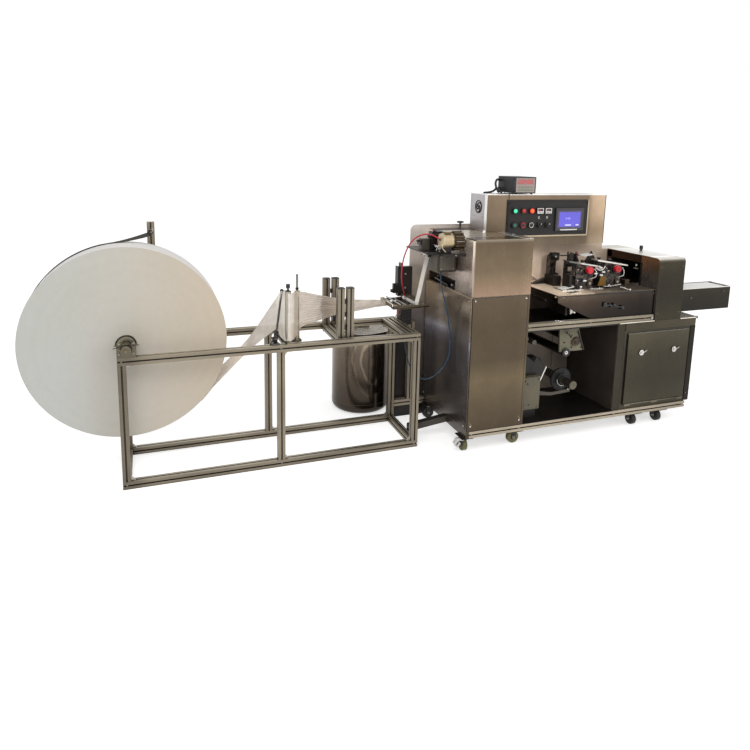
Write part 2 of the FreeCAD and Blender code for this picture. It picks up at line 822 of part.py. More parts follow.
def web():
    """The nonwoven web from the roll, round the turn bars and upright through the guide stand."""
    thick = value("web_thickness")
    width = value("roll_width")
    half = value("bar_diameter / 2") + thick
    foot = point("slant_foot_x", "slant_foot_y", "frame_height")
    slant = V(value("slant_reach_x"), value("slant_reach_y"), value("slant_rise"))
    centre = point("roll_axis_x", "roll_start + roll_width / 2", "roll_axis_z")
    share = (centre.y - foot.y) / slant.y
    on_bar = foot + slant * share - V(half, 0, 0)
    radius = value("roll_diameter / 2 + strap_clearance") + thick / 2
    away = on_bar - centre
    bearing = math.atan2(away.z, away.x)
    touch = bearing - math.acos(radius / math.hypot(away.x, away.z))
    leaving = centre + V(radius * math.cos(touch), 0, radius * math.sin(touch))
    heading = (on_bar - leaving).normalize()
    bar_way = V(slant).normalize()
    stretch = width / bar_way.y
    first = strip_section(leaving, V(0, 1, 0), heading.cross(V(0, 1, 0)), width, thick)
    second = strip_section(on_bar, bar_way, heading.cross(bar_way), stretch, thick)
    from_roll = Part.makeLoft([first, second], True, True)

    height = value("turn_roller_rise - web_margin")
    edge = point("turn_rail_start + profile_side / 2",
                 "bar_line - (turn_roller_diameter + web_thickness) / 2",
                 "frame_height + (turn_roller_rise + web_margin) / 2")
    over_bar = on_bar + V(2 * half, 0, 0)
    facing = V(bar_way.z, 0, -bar_way.x) + V(bar_way.x, 0, 0)
    third = strip_section(over_bar, bar_way, facing, stretch, thick)
    fourth = strip_section(edge, V(0, 0, 1), V(0, 1, 0), height, thick)
    bar = point("vertical_rail_start + profile_side / 2 + wrap_lead", "bar_line - wrap_depth",
                "frame_height + web_rise_at_bar")
    stand = point("stand_start + profile_side", "(stand_front + stand_back + profile_side) / 2",
                  "frame_height + web_rise_at_stand")
    former = point("fold_entry_x", "fold_centre_y", "fold_rise")
    over = Part.makeLoft([third, fourth], True, True)
    next_edge = edge + V(value("running_gap"), 0, 0)
    sections = [strip_section(next_edge, V(0, 0, 1), V(0, 1, 0), height, thick)]
    for spot, size in ((bar, "web_width_at_bar"), (stand, "web_width_at_stand"), (former, "web_width_at_fold")):
        sections.append(strip_section(spot, V(0, 0, 1), V(0, 1, 0), value(size), thick))
    onward = Part.makeLoft(sections, True, True)
    return [group("nonwoven_web", [solid("web_from_roll", from_roll), solid("web_over_bars", over),
                                   solid("web_to_folder", onward)])]


def guide_stand():
    """Two pairs of short posts that keep the upright web between them."""
    posts = []
    caps = []
    for side, y in (("front", "stand_front"), ("back", "stand_back")):
        for number, x in (("one", "stand_start"), ("two", "stand_start + stand_pitch")):
            posts.append(rail(f"stand_{side}_{number}", x, y, "frame_height", "stand_height", "z"))
            caps.append(box(f"cap_{side}_{number}", x, y, "frame_height + stand_height",
                            "profile_side", "profile_side", "cap_thickness"))
    return [group("guide_stand_posts", posts), group("stand_caps", caps)]


def drum():
    """The liquid drum, an open shell with a rounded foot, and its lid."""
    radius = value("drum_diameter / 2")
    height = value("drum_height")
    wall = value("drum_wall")
    corner = value("drum_corner")
    foot = point("drum_x", "drum_y", "0")
    outside = Part.makeCylinder(radius, height, foot)
    low = [edge for edge in outside.Edges if edge.BoundBox.ZMax < foot.z + 1 and len(edge.Vertexes) == 1]
    outside = outside.makeFillet(corner, low)
    inside = Part.makeCylinder(radius - wall, height, foot + V(0, 0, wall))
    low = [edge for edge in inside.Edges if edge.BoundBox.ZMax < foot.z + wall + 1 and len(edge.Vertexes) == 1]
    inside = inside.makeFillet(corner - wall, low)
    shell = solid("liquid_drum", outside.cut(inside))
    rim = "drum_diameter + 2 * lid_overhang"
    top = cylinder("lid_top", "drum_x", "drum_y", "drum_height", rim, "drum_wall")
    skirt = cylinder("lid_skirt_ring", "drum_x", "drum_y", "drum_height - lid_skirt", rim, "lid_skirt")
    clear = cylinder("lid_skirt_bore", "drum_x", "drum_y", "drum_height - lid_skirt",
                     "drum_diameter + 2 * running_gap", "lid_skirt")
    lid = fuse("lid_shell", [top, cut("lid_skirt_shell", skirt, clear)])
    grip = box("lid_grip", "drum_x - grip_length / 2", "drum_y - grip_width / 2", "drum_height + drum_wall",
               "grip_length", "grip_width", "grip_height")
    return [shell, fuse("drum_lid", [lid, grip])]


def base():
    """The wrapper's base frame on its casters."""
    length = "base_rail_end - base_rail_start"
    long_rails = [
        rail("front_base_rail", "base_rail_start", "machine_front", "base_rise", length, "x"),
        rail("back_base_rail", "frame_length", "machine_back - profile_side", "base_rise",
             "base_rail_end - frame_length", "x"),
    ]
    cross_rails = []
    inner = "machine_back - machine_front - 2 * profile_side"
    for name, x in (("left", "base_rail_start"), ("middle", "cabinet_start"),
                    ("right", "base_rail_end - profile_side")):
        cross_rails.append(rail(f"{name}_base_cross", x, "machine_front + profile_side", "base_rise", inner, "y"))
    wheels = []
    forks = []
    swivelled = ("front_first", "front_third", "front_fourth", "back_third")
    for number in ("first", "second", "third", "fourth"):
        x = f"machine_start + {number}_caster"
        for side, y in (("front", "machine_front + caster_inset"), ("back", "machine_back - caster_inset")):
            axle = "x" if f"{side}_{number}" in swivelled else "y"
            wheels.append(caster_wheel(f"{side}_wheel_{number}", x, y, axle))
            forks.append(caster_fork(f"{side}_fork_{number}", x, y, side, axle))
    leg = rail("rear_leg", "machine_start - leg_reach", "machine_back - profile_side", "base_top",
               "leg_top - base_top", "z")
    return [group("base_long_rails", long_rails), group("base_cross_rails", cross_rails + [leg]),
            group("caster_wheels", wheels), group("caster_forks", forks)]


def caster_wheel(name, x, y, axle):
    """One wheel, its axle along x or y."""
    if axle == "x":
        return cylinder(name, f"{x} - wheel_width / 2", y, "wheel_diameter / 2", "wheel_diameter", "wheel_width", "x")
    return cylinder(name, x, f"{y} - wheel_width / 2", "wheel_diameter / 2", "wheel_diameter", "wheel_width", "y")


def caster_fork(name, x, y, side, axle):
    """A mounting plate that reaches under its base rail, and two cheeks that hold the axle."""
    reach = "caster_inset + caster_plate / 2"
    edge = "machine_front" if side == "front" else f"machine_back - ({reach})"
    pieces = [
        box(name + "_plate", f"{x} - caster_plate / 2", edge, "base_rise - fork_plate", "caster_plate", reach,
            "fork_plate"),
        box(name + "_swivel", f"{x} - swivel_side / 2", f"{y} - swivel_side / 2", "wheel_diameter + fork_plate",
            "swivel_side", "swivel_side", "base_rise - wheel_diameter - 2 * fork_plate"),
    ]
    height = "wheel_diameter / 2 + fork_above"
    low = "wheel_diameter / 2 - fork_below"
    cheeks = {"near": "-wheel_width / 2 - caster_gap - fork_plate", "far": "wheel_width / 2 + caster_gap"}
    bosses = {"near": "-wheel_width / 2 - caster_gap", "far": "wheel_width / 2"}
    for end in ("near", "far"):
        if axle == "x":
            cheek = box(f"{name}_{end}", f"{x} + {cheeks[end]}", f"{y} - fork_width / 2", low,
                        "fork_plate", "fork_width", height)
            boss = cylinder(f"{name}_{end}_boss", f"{x} + {bosses[end]}", y, "wheel_diameter / 2",
                            "boss_diameter", "caster_gap", "x")
        else:
            cheek = box(f"{name}_{end}", f"{x} - fork_width / 2", f"{y} + {cheeks[end]}", low,
                        "fork_width", "fork_plate", height)
            boss = cylinder(f"{name}_{end}_boss", x, f"{y} + {bosses[end]}", "wheel_diameter / 2",
                            "boss_diameter", "caster_gap", "y")
        pieces += [cheek, boss]
    return fuse(name, pieces)


def column():
    """The left column: its lower housing, and the stainless cover with a recess in its left side."""
    depth = "machine_back - machine_front"
    lower = box("column_body", "machine_start", "machine_front", "base_top",
                "column_end - machine_start", depth, "column_seam - base_top")
    skirt = box("column_skirt", "machine_start", "machine_front", "base_rise",
                "skirt_thickness", f"{depth} - profile_side", "base_top - base_rise")
    cover = box("cover_block", "machine_start", "machine_front", "column_seam + seam_gap",
                "column_end - machine_start", depth, "column_top - column_seam - seam_gap")
    recess = box("cover_recess", "machine_start", "recess_start", "column_seam + seam_gap",
                 "recess_depth", "recess_end - recess_start", "recess_height")
    hollowed = cut("cover_hollowed", cover, recess)
    left = value("machine_start - middle_x")
    front = value("machine_front - middle_y")
    top = value("column_top")

    def chosen(edge):
        upright = runs(edge, "z") and at(edge, "x", left) and at(edge, "y", front)
        left_top = runs(edge, "y") and at(edge, "x", left) and at(edge, "z", top)
        return upright or left_top

    neck = box("column_neck", "machine_start + neck_inset", "machine_front + neck_inset", "column_seam",
               "column_length - 2 * neck_inset", f"{depth} - 2 * neck_inset", "seam_gap")
    lower_body = fuse("column_housing", [lower, skirt, neck])
    return [lower_body, rounded("column_cover", hollowed, "cover_corner", chosen)]


def rear_plate():
    """The plate behind the fold unit, with its free top corner rounded."""
    blank = box("rear_plate_blank", "rear_plate_start", "machine_back", "base_top",
                "rear_plate_length", "rear_plate_thickness", "rear_plate_top - base_top")
    left = value("rear_plate_start - middle_x")
    top = value("rear_plate_top")
    return [rounded("rear_plate", blank, "rear_plate_corner",
                    lambda edge: runs(edge, "y") and at(edge, "x", left) and at(edge, "z", top))]


def control_box():
    """The control box over the column, with its dark panel, screen and buttons."""
    body = box("control_housing", "control_start", "control_front", "column_top",
               "control_length", "control_depth", "control_top - column_top")
    drop = box("control_drop", "column_end + running_gap", "control_front", "control_bottom",
               "control_end - column_end - running_gap", "control_depth", "column_top - control_bottom")
    housing = fuse("control_box", [body, drop])
    panel = box("panel_sheet", "panel_start", "control_front - panel_thickness", "panel_rise",
                "panel_length", "panel_thickness", "panel_height")
    screen = box("touch_screen", "screen_start", "control_front - panel_thickness - screen_thickness",
                 "screen_rise", "screen_length", "screen_thickness", "screen_height")
    front = "control_front - panel_thickness - button_length"
    buttons = []
    for row, count in (("upper", 3), ("lower", 5)):
        for number in range(count):
            buttons.append(cylinder(f"{row}_button_{number}", f"panel_start + button_inset + {number} * button_pitch",
                                    front, f"panel_rise + {row}_row_rise", "button_diameter", "button_length", "y"))
    for number in (3, 4):
        middle = f"panel_start + button_inset + {number} * button_pitch"
        buttons.append(box(f"upper_display_{number}", f"{middle} - display_width / 2", front,
                           "panel_rise + upper_row_rise - display_height / 2",
                           "display_width", "button_length", "display_height"))
    bottom = "control_top + counter_foot"
    counter = box("counter_body", "counter_start", "counter_front", bottom,
                  "counter_length", "counter_depth", "counter_height")
    feet = []
    for number in range(4):
        x = f"counter_start + counter_foot_inset + {number % 2} * (counter_length - 2 * counter_foot_inset)"
        y = f"counter_front + counter_foot_inset + {number // 2} * (counter_depth - 2 * counter_foot_inset)"
        feet.append(cylinder(f"counter_foot_{number}", x, y, "control_top", "counter_foot_side", "counter_foot"))
    counter_case = fuse("counter_case", [counter] + feet)
    face = box("counter_face", "counter_start + counter_rim", "counter_front - counter_face",
               f"{bottom} + counter_rim", "counter_length - 2 * counter_rim", "counter_face",
               "counter_height - 2 * counter_rim")
    return [housing, fuse("control_panel", [panel, screen]), group("panel_buttons", buttons),
            fuse("counter_box", [counter_case, face])]


def work_area():
    """The upper rail, back wall, table and apron."""
    upper = rail("upper_rail", "column_end", "machine_front", "deck_height",
                 "upper_rail_end - column_end", "x")
    depth = "machine_back - wall_front"
    wall = box("back_wall", "column_end", "wall_front", "base_top",
               "cabinet_start - column_end", depth, "control_bottom - base_top")
    wall_middle = box("back_wall_middle", "cabinet_start", "wall_front", "deck_height",
                      "wall_end - cabinet_start", depth, "control_bottom - deck_height")
    wall_right = box("back_wall_right", "wall_end", "wall_front", "deck_height",
                     "hood_end - wall_end", depth, "hood_top - deck_height")
    table = box("work_table", "table_start", "table_front", "table_height - table_thickness",
                "hood_start - table_start", "wall_front - table_front", "table_thickness")
    top = "table_height - table_thickness - apron_low"
    apron = plate("table_apron", [
        ("0", "apron_side - apron_low"),
        ("apron_slant", "0"),
        ("hood_start - table_start", "0"),
        ("hood_start - table_start", top),
        ("0", top),
    ], "apron_thickness", "table_start", "table_front + apron_thickness", "apron_low", "y")
    return [upper, fuse("rear_housing", [wall, wall_middle, wall_right]), table, apron]


def discharge():
    """The discharge hood with its opening and outlet, and the outfeed conveyor's side plates."""
    depth = "wall_front - machine_front"
    blank = box("hood_blank", "hood_start", "machine_front", "deck_height",
                "hood_length", depth, "hood_top - deck_height")
    front = value("machine_front - middle_y")
    top = value("hood_top")
    shaped = rounded("hood_shaped", blank, "hood_corner",
                     lambda edge: runs(edge, "x") and at(edge, "y", front) and at(edge, "z", top))
    tunnel = box("hood_tunnel", "hood_start", "tunnel_front", "table_height",
                 "hood_length - hood_wall", "tunnel_back - tunnel_front", "tunnel_height")
    outlet = box("hood_outlet", "hood_end - hood_wall", "conveyor_front", "conveyor_top",
                 "hood_wall", "conveyor_width", "exit_height")
    slot = box("conveyor_passage", "hood_start + hood_wall", "conveyor_front", "conveyor_top - conveyor_height",
               "hood_length - hood_wall", "conveyor_width", "table_height - conveyor_top + conveyor_height")
    hood = cut("discharge_hood", shaped, fuse("hood_openings", [tunnel, slot, outlet]))
    start = "hood_start + hood_wall"
    length = "conveyor_end - hood_start - hood_wall"
    frames = []
    for name, y in (("front", "conveyor_front"), ("back", "conveyor_front + conveyor_width - side_plate")):
        frames.append(box(f"conveyor_{name}_plate", start, y, "conveyor_top - conveyor_height",
                          length, "side_plate", "conveyor_height"))
    return [hood, group("conveyor_frame", frames)]


def cabinet():
    """The right cabinet with its lift-off door and the two round latches on it."""
    body = box("right_cabinet", "cabinet_start", "machine_front + door_thickness", "base_top",
               "machine_end - cabinet_start", "machine_back - machine_front - door_thickness",
               "deck_height - base_top")
    door = box("cabinet_door", "door_start", "machine_front", "door_rise",
               "door_length", "door_thickness", "door_height")
    latches = []
    for side in ("left", "right"):
        x = f"door_start + door_length * {side}_latch_share"
        z = "door_rise + door_height * latch_rise_share"
        cup = cylinder(f"{side}_latch_cup", x, "machine_front - latch_cup", z,
                       "latch_diameter", "latch_cup", "y")
        stub = cylinder(f"{side}_latch_stub", x, "machine_front - latch_reach", z,
                        "latch_stub_diameter", "latch_stub", "y")
        latches.append(fuse(f"{side}_latch", [cup, stub]))
    return [body, door, group("door_latches", latches)]


def film_bay():
    """The film spindle with its flange and bearing, the light box, its arm and the guide bracket."""
    shaft = cylinder("spindle_shaft", "spindle_x", "spindle_front", "spindle_rise",
                     "spindle_diameter", "wall_front - spindle_front - running_gap", "y")
    disc = cylinder("flange_disc", "spindle_x", "flange_start", "spindle_rise",
                    "flange_diameter", "flange_thickness", "y")
    hub = cylinder("flange_hub_ring", "spindle_x", "flange_start - flange_hub_length", "spindle_rise",
                   "flange_hub", "flange_hub_length", "y")
    bore = cylinder("flange_bore", "spindle_x", "flange_start - flange_hub_length", "spindle_rise",
                    "spindle_diameter", "flange_thickness + flange_hub_length", "y")
    flange = cut("spindle_flange", fuse("flange_solid", [disc, hub]), bore)
    housing = cylinder("bearing_ring", "spindle_x", "wall_front - bearing_housing_length", "spindle_rise",
                       "bearing_housing", "bearing_housing_length", "y")
    housing_bore = cylinder("bearing_bore", "spindle_x", "wall_front - bearing_housing_length",
                            "spindle_rise", "spindle_diameter + 2 * running_gap", "bearing_housing_length", "y")
    bearing = cut("spindle_bearing", housing, housing_bore)
    block = fuse("bay_box", [
        box("bay_box_body", "bay_box_start", "bay_box_front", "bay_box_bottom", "bay_box_length",
            "bay_box_depth", "bay_box_height"),
        box("bay_box_foot_block", "bay_box_start + bay_box_foot", "bay_box_front + bay_box_foot",
            "base_top + floor_thickness", "bay_box_length - 2 * bay_box_foot",
            "bay_box_depth - 2 * bay_box_foot", "bay_box_rise"),
    ])
    deck = box("upper_deck", "column_end", "machine_front", "deck_height - deck_thickness",
               "cabinet_start - column_end", "wall_front - machine_front", "deck_thickness")
    floor = box("floor_plate", "column_end", "machine_front", "base_top",
                "cabinet_start - column_end", "wall_front - machine_front", "floor_thickness")
    bracket = plate("bracket_plate", [
        ("0", "bracket_drop"),
        ("bracket_step", "0"),
        ("bracket_length", "0"),
        ("bracket_length - bracket_narrowing", "bracket_drop"),
    ], "bearing_plate", "bracket_start", "bracket_front + bearing_plate", "bracket_top - bracket_drop", "y")
    arm = plate("bay_arm", [
        ("0", "bay_arm_drop"),
        ("bay_arm_reach / 2", "0"),
        ("bay_arm_reach", "bay_arm_drop / 2"),
        ("bay_arm_reach", "bay_arm_height"),
        ("bay_arm_reach / 2", "bay_arm_height - bay_arm_drop / 2"),
        ("0", "bay_arm_height + bay_arm_drop"),
    ], "bay_arm_thickness", "bay_box_start + bay_box_length", "bay_arm_front + bay_arm_thickness",
        "bay_arm_low", "y")
    shield = plate("bay_shield", [
        ("0", "0"),
        ("bay_box_length * 0.46", "0"),
        ("bay_box_length", "bay_box_height * 0.28"),
        ("bay_box_length * 0.36", "bay_box_height * 0.62"),
    ], "bay_plate_thickness", "bay_box_start", "(bay_box_front + bay_arm_front) / 2",
        "bay_box_bottom + bay_box_height", "y")
    guides = []
    for level in ("upper", "lower"):
        x = f"bracket_start + {level}_guide_inset"
        z = f"deck_height - {level}_guide_drop"
        back = cylinder(level + "_guide_back", x, "bracket_front + bearing_plate", z, "guide_roller",
                        "wall_front - bracket_front - bearing_plate", "y")
        nose = cylinder(level + "_guide_front", x, "bracket_front - guide_nose", z, "guide_roller",
                        "guide_nose", "y")
        guides += [back, nose]
    return [shaft, flange, bearing, block, group("deck_plates", [deck, floor]),
            group("guide_bracket", [bracket, arm, shield]), group("guide_rollers", guides)]


def outfeed():
    """The outfeed conveyor's rollers and its belt, one loop round both."""
    inner = "conveyor_width - 2 * side_plate"
    first_x = "hood_start + hood_wall + belt_roller / 2 + belt_roller_gap"
    last_x = "conveyor_end - belt_roller / 2 - belt_roller_gap"
    axis_z = "conveyor_top - belt_inset - belt_thickness - belt_roller / 2"
    rollers = []
    for name, x in (("first_belt_roller", first_x), ("last_belt_roller", last_x)):
        rollers.append(cylinder(name, x, "conveyor_front + side_plate", axis_z, "belt_roller", inner, "y"))
    radius = value("belt_roller / 2")
    thick = value("belt_thickness")
    start = point(first_x, "conveyor_front + side_plate + belt_margin", axis_z)
    end = point(last_x, "conveyor_front + side_plate + belt_margin", axis_z)

    def racetrack(size):
        """A loop of two half circles and two straight runs, size being its half height."""
        up = V(0, 0, size)
        out = V(size, 0, 0)
        return Part.Wire([
            Part.LineSegment(start + up, end + up).toShape(),
            Part.Arc(end + up, end + out, end - up).toShape(),
            Part.LineSegment(end - up, start - up).toShape(),
            Part.Arc(start - up, start - out, start + up).toShape(),
        ])

    across = V(0, value(f"{inner} - 2 * belt_margin"), 0)
    outside = Part.Face(racetrack(radius + thick)).extrude(across)
    inside = Part.Face(racetrack(radius)).extrude(across)
    return [group("conveyor_rollers", rollers), solid("conveyor_belt", outside.cut(inside))]


def sealing_cheek(name, x, y):
    """One cheek of a sealing head, its top falling to the right, with a window over the rollers."""
    sheet_metal = plate(f"{name}_sheet", [
        ("0", "0"),
        ("head_length", "0"),
        ("head_length", "head_height - head_fall"),
        ("0", "head_height"),
    ], "cheek", x, f"{y} + cheek", "table_height", "y")
    window = box(f"{name}_window", f"{x} + window_inset", y, "table_height + window_rise",
                 "head_length / 2 - window_inset", "cheek", "window_height")
    return cut(name, sheet_metal, window)


def sealing():
    """Two sealing heads: cheeks under a slanted plate, a pair of rollers, a knob; and the heater arm."""
    frames = []
    rollers = []
    knobs = []
    for number in range(2):
        x = f"head_start + {number} * head_pitch"
        cheeks = []
        for side, y in (("front", "head_front"), ("back", "head_front + head_width - cheek")):
            cheeks.append(sealing_cheek(f"head_{number}_{side}_cheek", x, y))
        ties = []
        for side, spot in (("left", "tie_inset"), ("right", "head_length - tie_inset")):
            ties.append(cylinder(f"head_{number}_tie_{side}", f"{x} + {spot}", "head_front",
                                 "table_height + tie_rise", "tie_diameter", "head_width", "y"))
        frames.append(fuse(f"sealing_frame_{number}", cheeks + ties))
        fall = "head_fall / head_length"
        left = f"head_height + head_plate_reach * {fall}"
        right = f"head_height - (head_length + head_plate_reach) * {fall}"
        length = "head_length + 2 * head_plate_reach"
        rollers.append(plate(f"head_{number}_plate", [
            ("0", left),
            (length, right),
            (length, f"{right} + head_plate_thickness"),
            ("0", f"{left} + head_plate_thickness"),
        ], "head_width / 2", f"{x} - head_plate_reach", "head_front + head_width / 2", "table_height", "y"))
        for level, z in (("lower", "table_height + seal_roller / 2"),
                         ("upper", "table_height + seal_roller * 1.5 + seal_gap")):
            rollers.append(cylinder(f"seal_{level}_roller_{number}", f"{x} + head_length / 2",
                                    "head_front + cheek", z, "seal_roller",
                                    "head_width - 2 * cheek", "y"))
        knob_x = f"{x} + seal_knob_inset"
        stem = cylinder(f"seal_knob_stem_{number}", knob_x, "head_front - seal_stem_length",
                        "table_height + seal_knob_rise", "seal_stem", "seal_stem_length", "y")
        grip = cylinder(f"seal_knob_grip_{number}", knob_x,
                        "head_front - seal_stem_length - seal_knob_length",
                        "table_height + seal_knob_rise", "seal_knob", "seal_knob_length", "y")
        knobs.append(fuse(f"seal_knob_{number}", [stem, grip]))
    pin = cylinder("seal_pin_post", "head_start + window_inset", "head_front + head_width - cheek / 2",
                   "table_height + head_height - head_fall * window_inset / head_length",
                   "cheek", "seal_pin_length", "z")
    arm = plate("heater_hook", [
        ("0", "0"),
        ("heater_length", "0"),
        ("heater_length", "heater_height - 3 * heater_waist"),
        ("heater_waist", "heater_height - 2.8 * heater_waist"),
        ("heater_waist", "heater_height - 1.2 * heater_waist"),
        ("heater_length", "heater_height - heater_waist"),
        ("heater_length", "heater_height"),
        ("heater_length - heater_waist", "heater_height"),
        ("0", "heater_height - heater_waist / 2"),
    ], "heater_width", "machine_start + heater_inset", "heater_front + heater_width", "table_height", "y")
    rod = cylinder("heater_rod_bar", "machine_start + heater_inset + heater_waist",
                   "heater_front + heater_width / 2", "table_height + heater_height - heater_waist / 2",
                   "heater_rod", "heater_rod_length", "x")
    return [group("sealing_frames", frames + [pin, fuse("heater_arm", [arm, rod])]),
            group("sealing_rollers", rollers), group("sealing_knobs", knobs)]


def ribbed_wheel():
    """The motor's ribbed wheel: a drum with bars along it, on its axle."""
    spot = point("motor_x + motor_length", "motor_line", "motor_rise")
    way = V(1, 0, 0)
    length = value("fold_wheel_length")
    radius = value("fold_wheel_diameter / 2")
    rib = value("fold_wheel_rib")
    wheel = Part.makeCylinder(radius, length, spot, way)
    for number in range(12):
        angle = 2 * math.pi * number / 12
        out = V(0, math.cos(angle), math.sin(angle)) * radius
        wheel = wheel.fuse(Part.makeCylinder(rib, length, spot + out, way))
    return solid("fold_wheel", wheel.removeSplitter())


def fold_unit():
    """The unit left of the column that folds the web: arms, shelf, rollers, motor and gearbox."""
    back = "fold_roller_start + fold_roller_length"
    arms = []
    for side, y in (("front", "fold_roller_start - arm_width"), ("back", back)):
        arms.append(box(f"fold_{side}_arm", "fold_entry_x", y, "arm_bottom",
                        "fold_arm_end - fold_entry_x", "arm_width", "arm_height"))
    arms.append(box("fold_cross_bar", "fold_arm_end - fold_bar_inset", "fold_roller_start", "arm_bottom",
                    "fold_bar_width", "fold_roller_length", "arm_height"))
    arms.append(box("fold_root", "fold_arm_end - fold_bar_inset", f"{back} + arm_width", "arm_bottom",
                    "fold_bar_inset", f"machine_back - side_plate_width - ({back}) - arm_width", "arm_height"))
    arm_frame = fuse("fold_arms", arms)
    lead = "fold_roller_start - upper_roller_lead"
    rollers = group("fold_rollers", [
        cylinder("entry_roller", "fold_roller_x", "fold_roller_start",
                 "entry_roller_z", "fold_roller", "fold_roller_length", "y"),
        cylinder("upper_roller", "upper_roller_x", lead, "upper_roller_rise - fold_roller / 2",
                 "fold_roller", "upper_roller_length", "y"),
    ])
    shelf = plate("shelf_plate", [
        ("0", "0"),
        ("shelf_length - shelf_nose", "0"),
        ("shelf_length - shelf_nose", "-shelf_nose_reach"),
        ("shelf_length", "-shelf_nose_reach"),
        ("shelf_length", "shelf_width"),
        ("0", "shelf_width"),
    ], "shelf_thickness", "shelf_start", "shelf_front", "shelf_rise", "z")
    lower = point("fold_roller_x", "fold_roller_start + strip_inset",
                  "entry_roller_z + fold_roller / 2 + running_gap")
    upper = point("upper_roller_x", "fold_roller_start + strip_inset",
                  "upper_roller_rise - fold_roller - running_gap")
    rising = (upper - lower).normalize()
    side = rising.cross(V(0, 1, 0))
    width = value("strip_width")
    thick = value("web_thickness")
    strip = Part.makeLoft([strip_section(lower, side, V(0, 1, 0), width, thick),
                           strip_section(upper, side, V(0, 1, 0), width, thick)], True, True)
    motor = cylinder("fold_motor", "motor_x", "motor_line", "motor_rise",
                     "motor_diameter", "motor_length", "x")
    gearbox = box("fold_gearbox", "machine_start - gearbox_reach", "gearbox_front",
                  "shelf_rise - gearbox_height", "gearbox_length", "gearbox_width", "gearbox_height")
    block = box("fold_block", "machine_start - fold_block_reach", "fold_block_front", "shelf_top",
                "fold_block_length", "fold_block_width", "fold_block_height")
    saddle = box("motor_saddle", "motor_x + (motor_length - saddle_length) / 2",
                 "motor_line - saddle_width / 2", "shelf_top", "saddle_length", "saddle_width",
                 "motor_rise - motor_diameter / 2 - shelf_top + motor_lift / 4")
    seat = cylinder("motor_seat", "motor_x", "motor_line", "motor_rise", "motor_diameter", "motor_length", "x")
    hangers = []
    for name, y in (("front", f"{lead} - hanger_thickness"), ("back", f"{lead} + upper_roller_length")):
        hangers.append(box(f"{name}_hanger", "upper_roller_x - hanger_width / 2", y,
                           "upper_roller_rise - fold_roller", "hanger_width", "hanger_thickness",
                           "upper_roller_drop + fold_roller"))
    side_plate = box("fold_side_plate", "machine_start - side_plate_reach", "machine_back - side_plate_width",
                     "arm_bottom", "side_plate_length", "side_plate_width", "side_plate_height")
    valve = box("valve_box", "machine_start - valve_reach", "valve_front", "valve_bottom", "valve_length",
                "valve_width", "arm_bottom - valve_bottom")
    dark = box("dark_block", "machine_start - dark_block_reach", "dark_block_front", "shelf_top",
               "dark_block_length", "dark_block_width", "dark_block_height")
    return [arm_frame, rollers, fuse("fold_shelf", [shelf, block, cut("motor_cradle", saddle, seat)] + hangers),
            solid("folded_strip", strip), motor, ribbed_wheel(), gearbox,
            group("fold_brackets", [side_plate, valve, dark])]


def rear():
    """The leg and pump box behind the unwind frame's end, and the tie between the two frames."""
    pump = box("pump_box", "machine_start - pump_box_reach", "machine_back + rear_plate_thickness", "0",
               "pump_box_length", "pump_box_width", "pump_box_height")
    start = point("frame_length", "tie_near_y", "tie_near_rise")
    end = point("machine_start", "tie_far_y", "tie_far_rise")
    side = value("profile_side")
    tie = strip_section(start, V(0, 1, 0), V(0, 0, 1), side, side)
    far = strip_section(end, V(0, 1, 0), V(0, 0, 1), side, side)
    return [pump, solid("frame_tie", Part.makeLoft([tie, far], True, True))]


# Hose routes. Each x is measured from the wrapper's left side.
RED_HOSE = [(-135, -30, 1252), (-168, -22, 1274), (-200, -6, 1285), (-233, 14, 1280), (-265, 38, 1258),
            (-289, 64, 1218), (-302, 90, 1164), (-305, 118, 1102), (-298, 146, 1030), (-280, 176, 962),
            (-250, 214, 902), (-226, 246, 858)]
BLUE_HOSE = [(-102, 20, 1058), (-102, 21, 1008), (-90, 22, 952), (-72, 24, 896), (-54, 27, 838),
             (-38, 28, 770), (-27, 26, 700), (-21, 22, 625), (-24, 20, 558), (-36, 28, 500),
             (-55, 62, 441), (-75, 128, 376), (-99, 200, 336), (-125, 268, 338), (-149, 318, 386),
             (-167, 342, 456), (-175, 350, 530), (-177, 352, 600), (-177, 352, 668)]


doc = FreeCAD.newDocument("wet_wipe_packing_machine")
sheet = doc.addObject("Spreadsheet::Sheet", "Sizes")
for row, (alias, number) in enumerate(SIZES.items(), start=1):
    sheet.set(f"A{row}", alias)
    sheet.set(f"B{row}", str(number))
    sheet.setAlias(f"B{row}", alias)
doc.recompute()
section = profile_section()

nodes = []
for build in (unwind_frame, roll_bearings, roll, brake, turn_bars, web, guide_stand, drum,
              base, column, control_box, work_area, discharge, outfeed, cabinet, film_bay, sealing,
              fold_unit, rear):
    nodes += build()
nodes.append(rear_plate()[0])
nodes.append(hose("red_hose", RED_HOSE, value("hose_diameter")))
nodes.append(hose("blue_hose", BLUE_HOSE, value("hose_diameter")))
doc.recompute()

for obj in doc.Objects:
    if "Invalid" in obj.State or "Error" in obj.State:
        raise RuntimeError(f"{obj.Name} failed: {obj.State}")
os.makedirs("parts", exist_ok=True)
for obj in nodes:
    if obj.Shape.isNull() or not obj.Shape.isValid() or not obj.Shape.Solids:
        raise RuntimeError(f"{obj.Name} has no valid solid")
    obj.Label = obj.Name
    obj.Shape.exportStep(f"parts/{obj.Name}.step")
print(len(nodes), "nodes")
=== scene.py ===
"""Looks of the wet wipe packing machine: camera, light, materials and the fine pieces on the solids."""
import math
from itertools import product
import bmesh
import bpy
from mathutils import Matrix, Vector


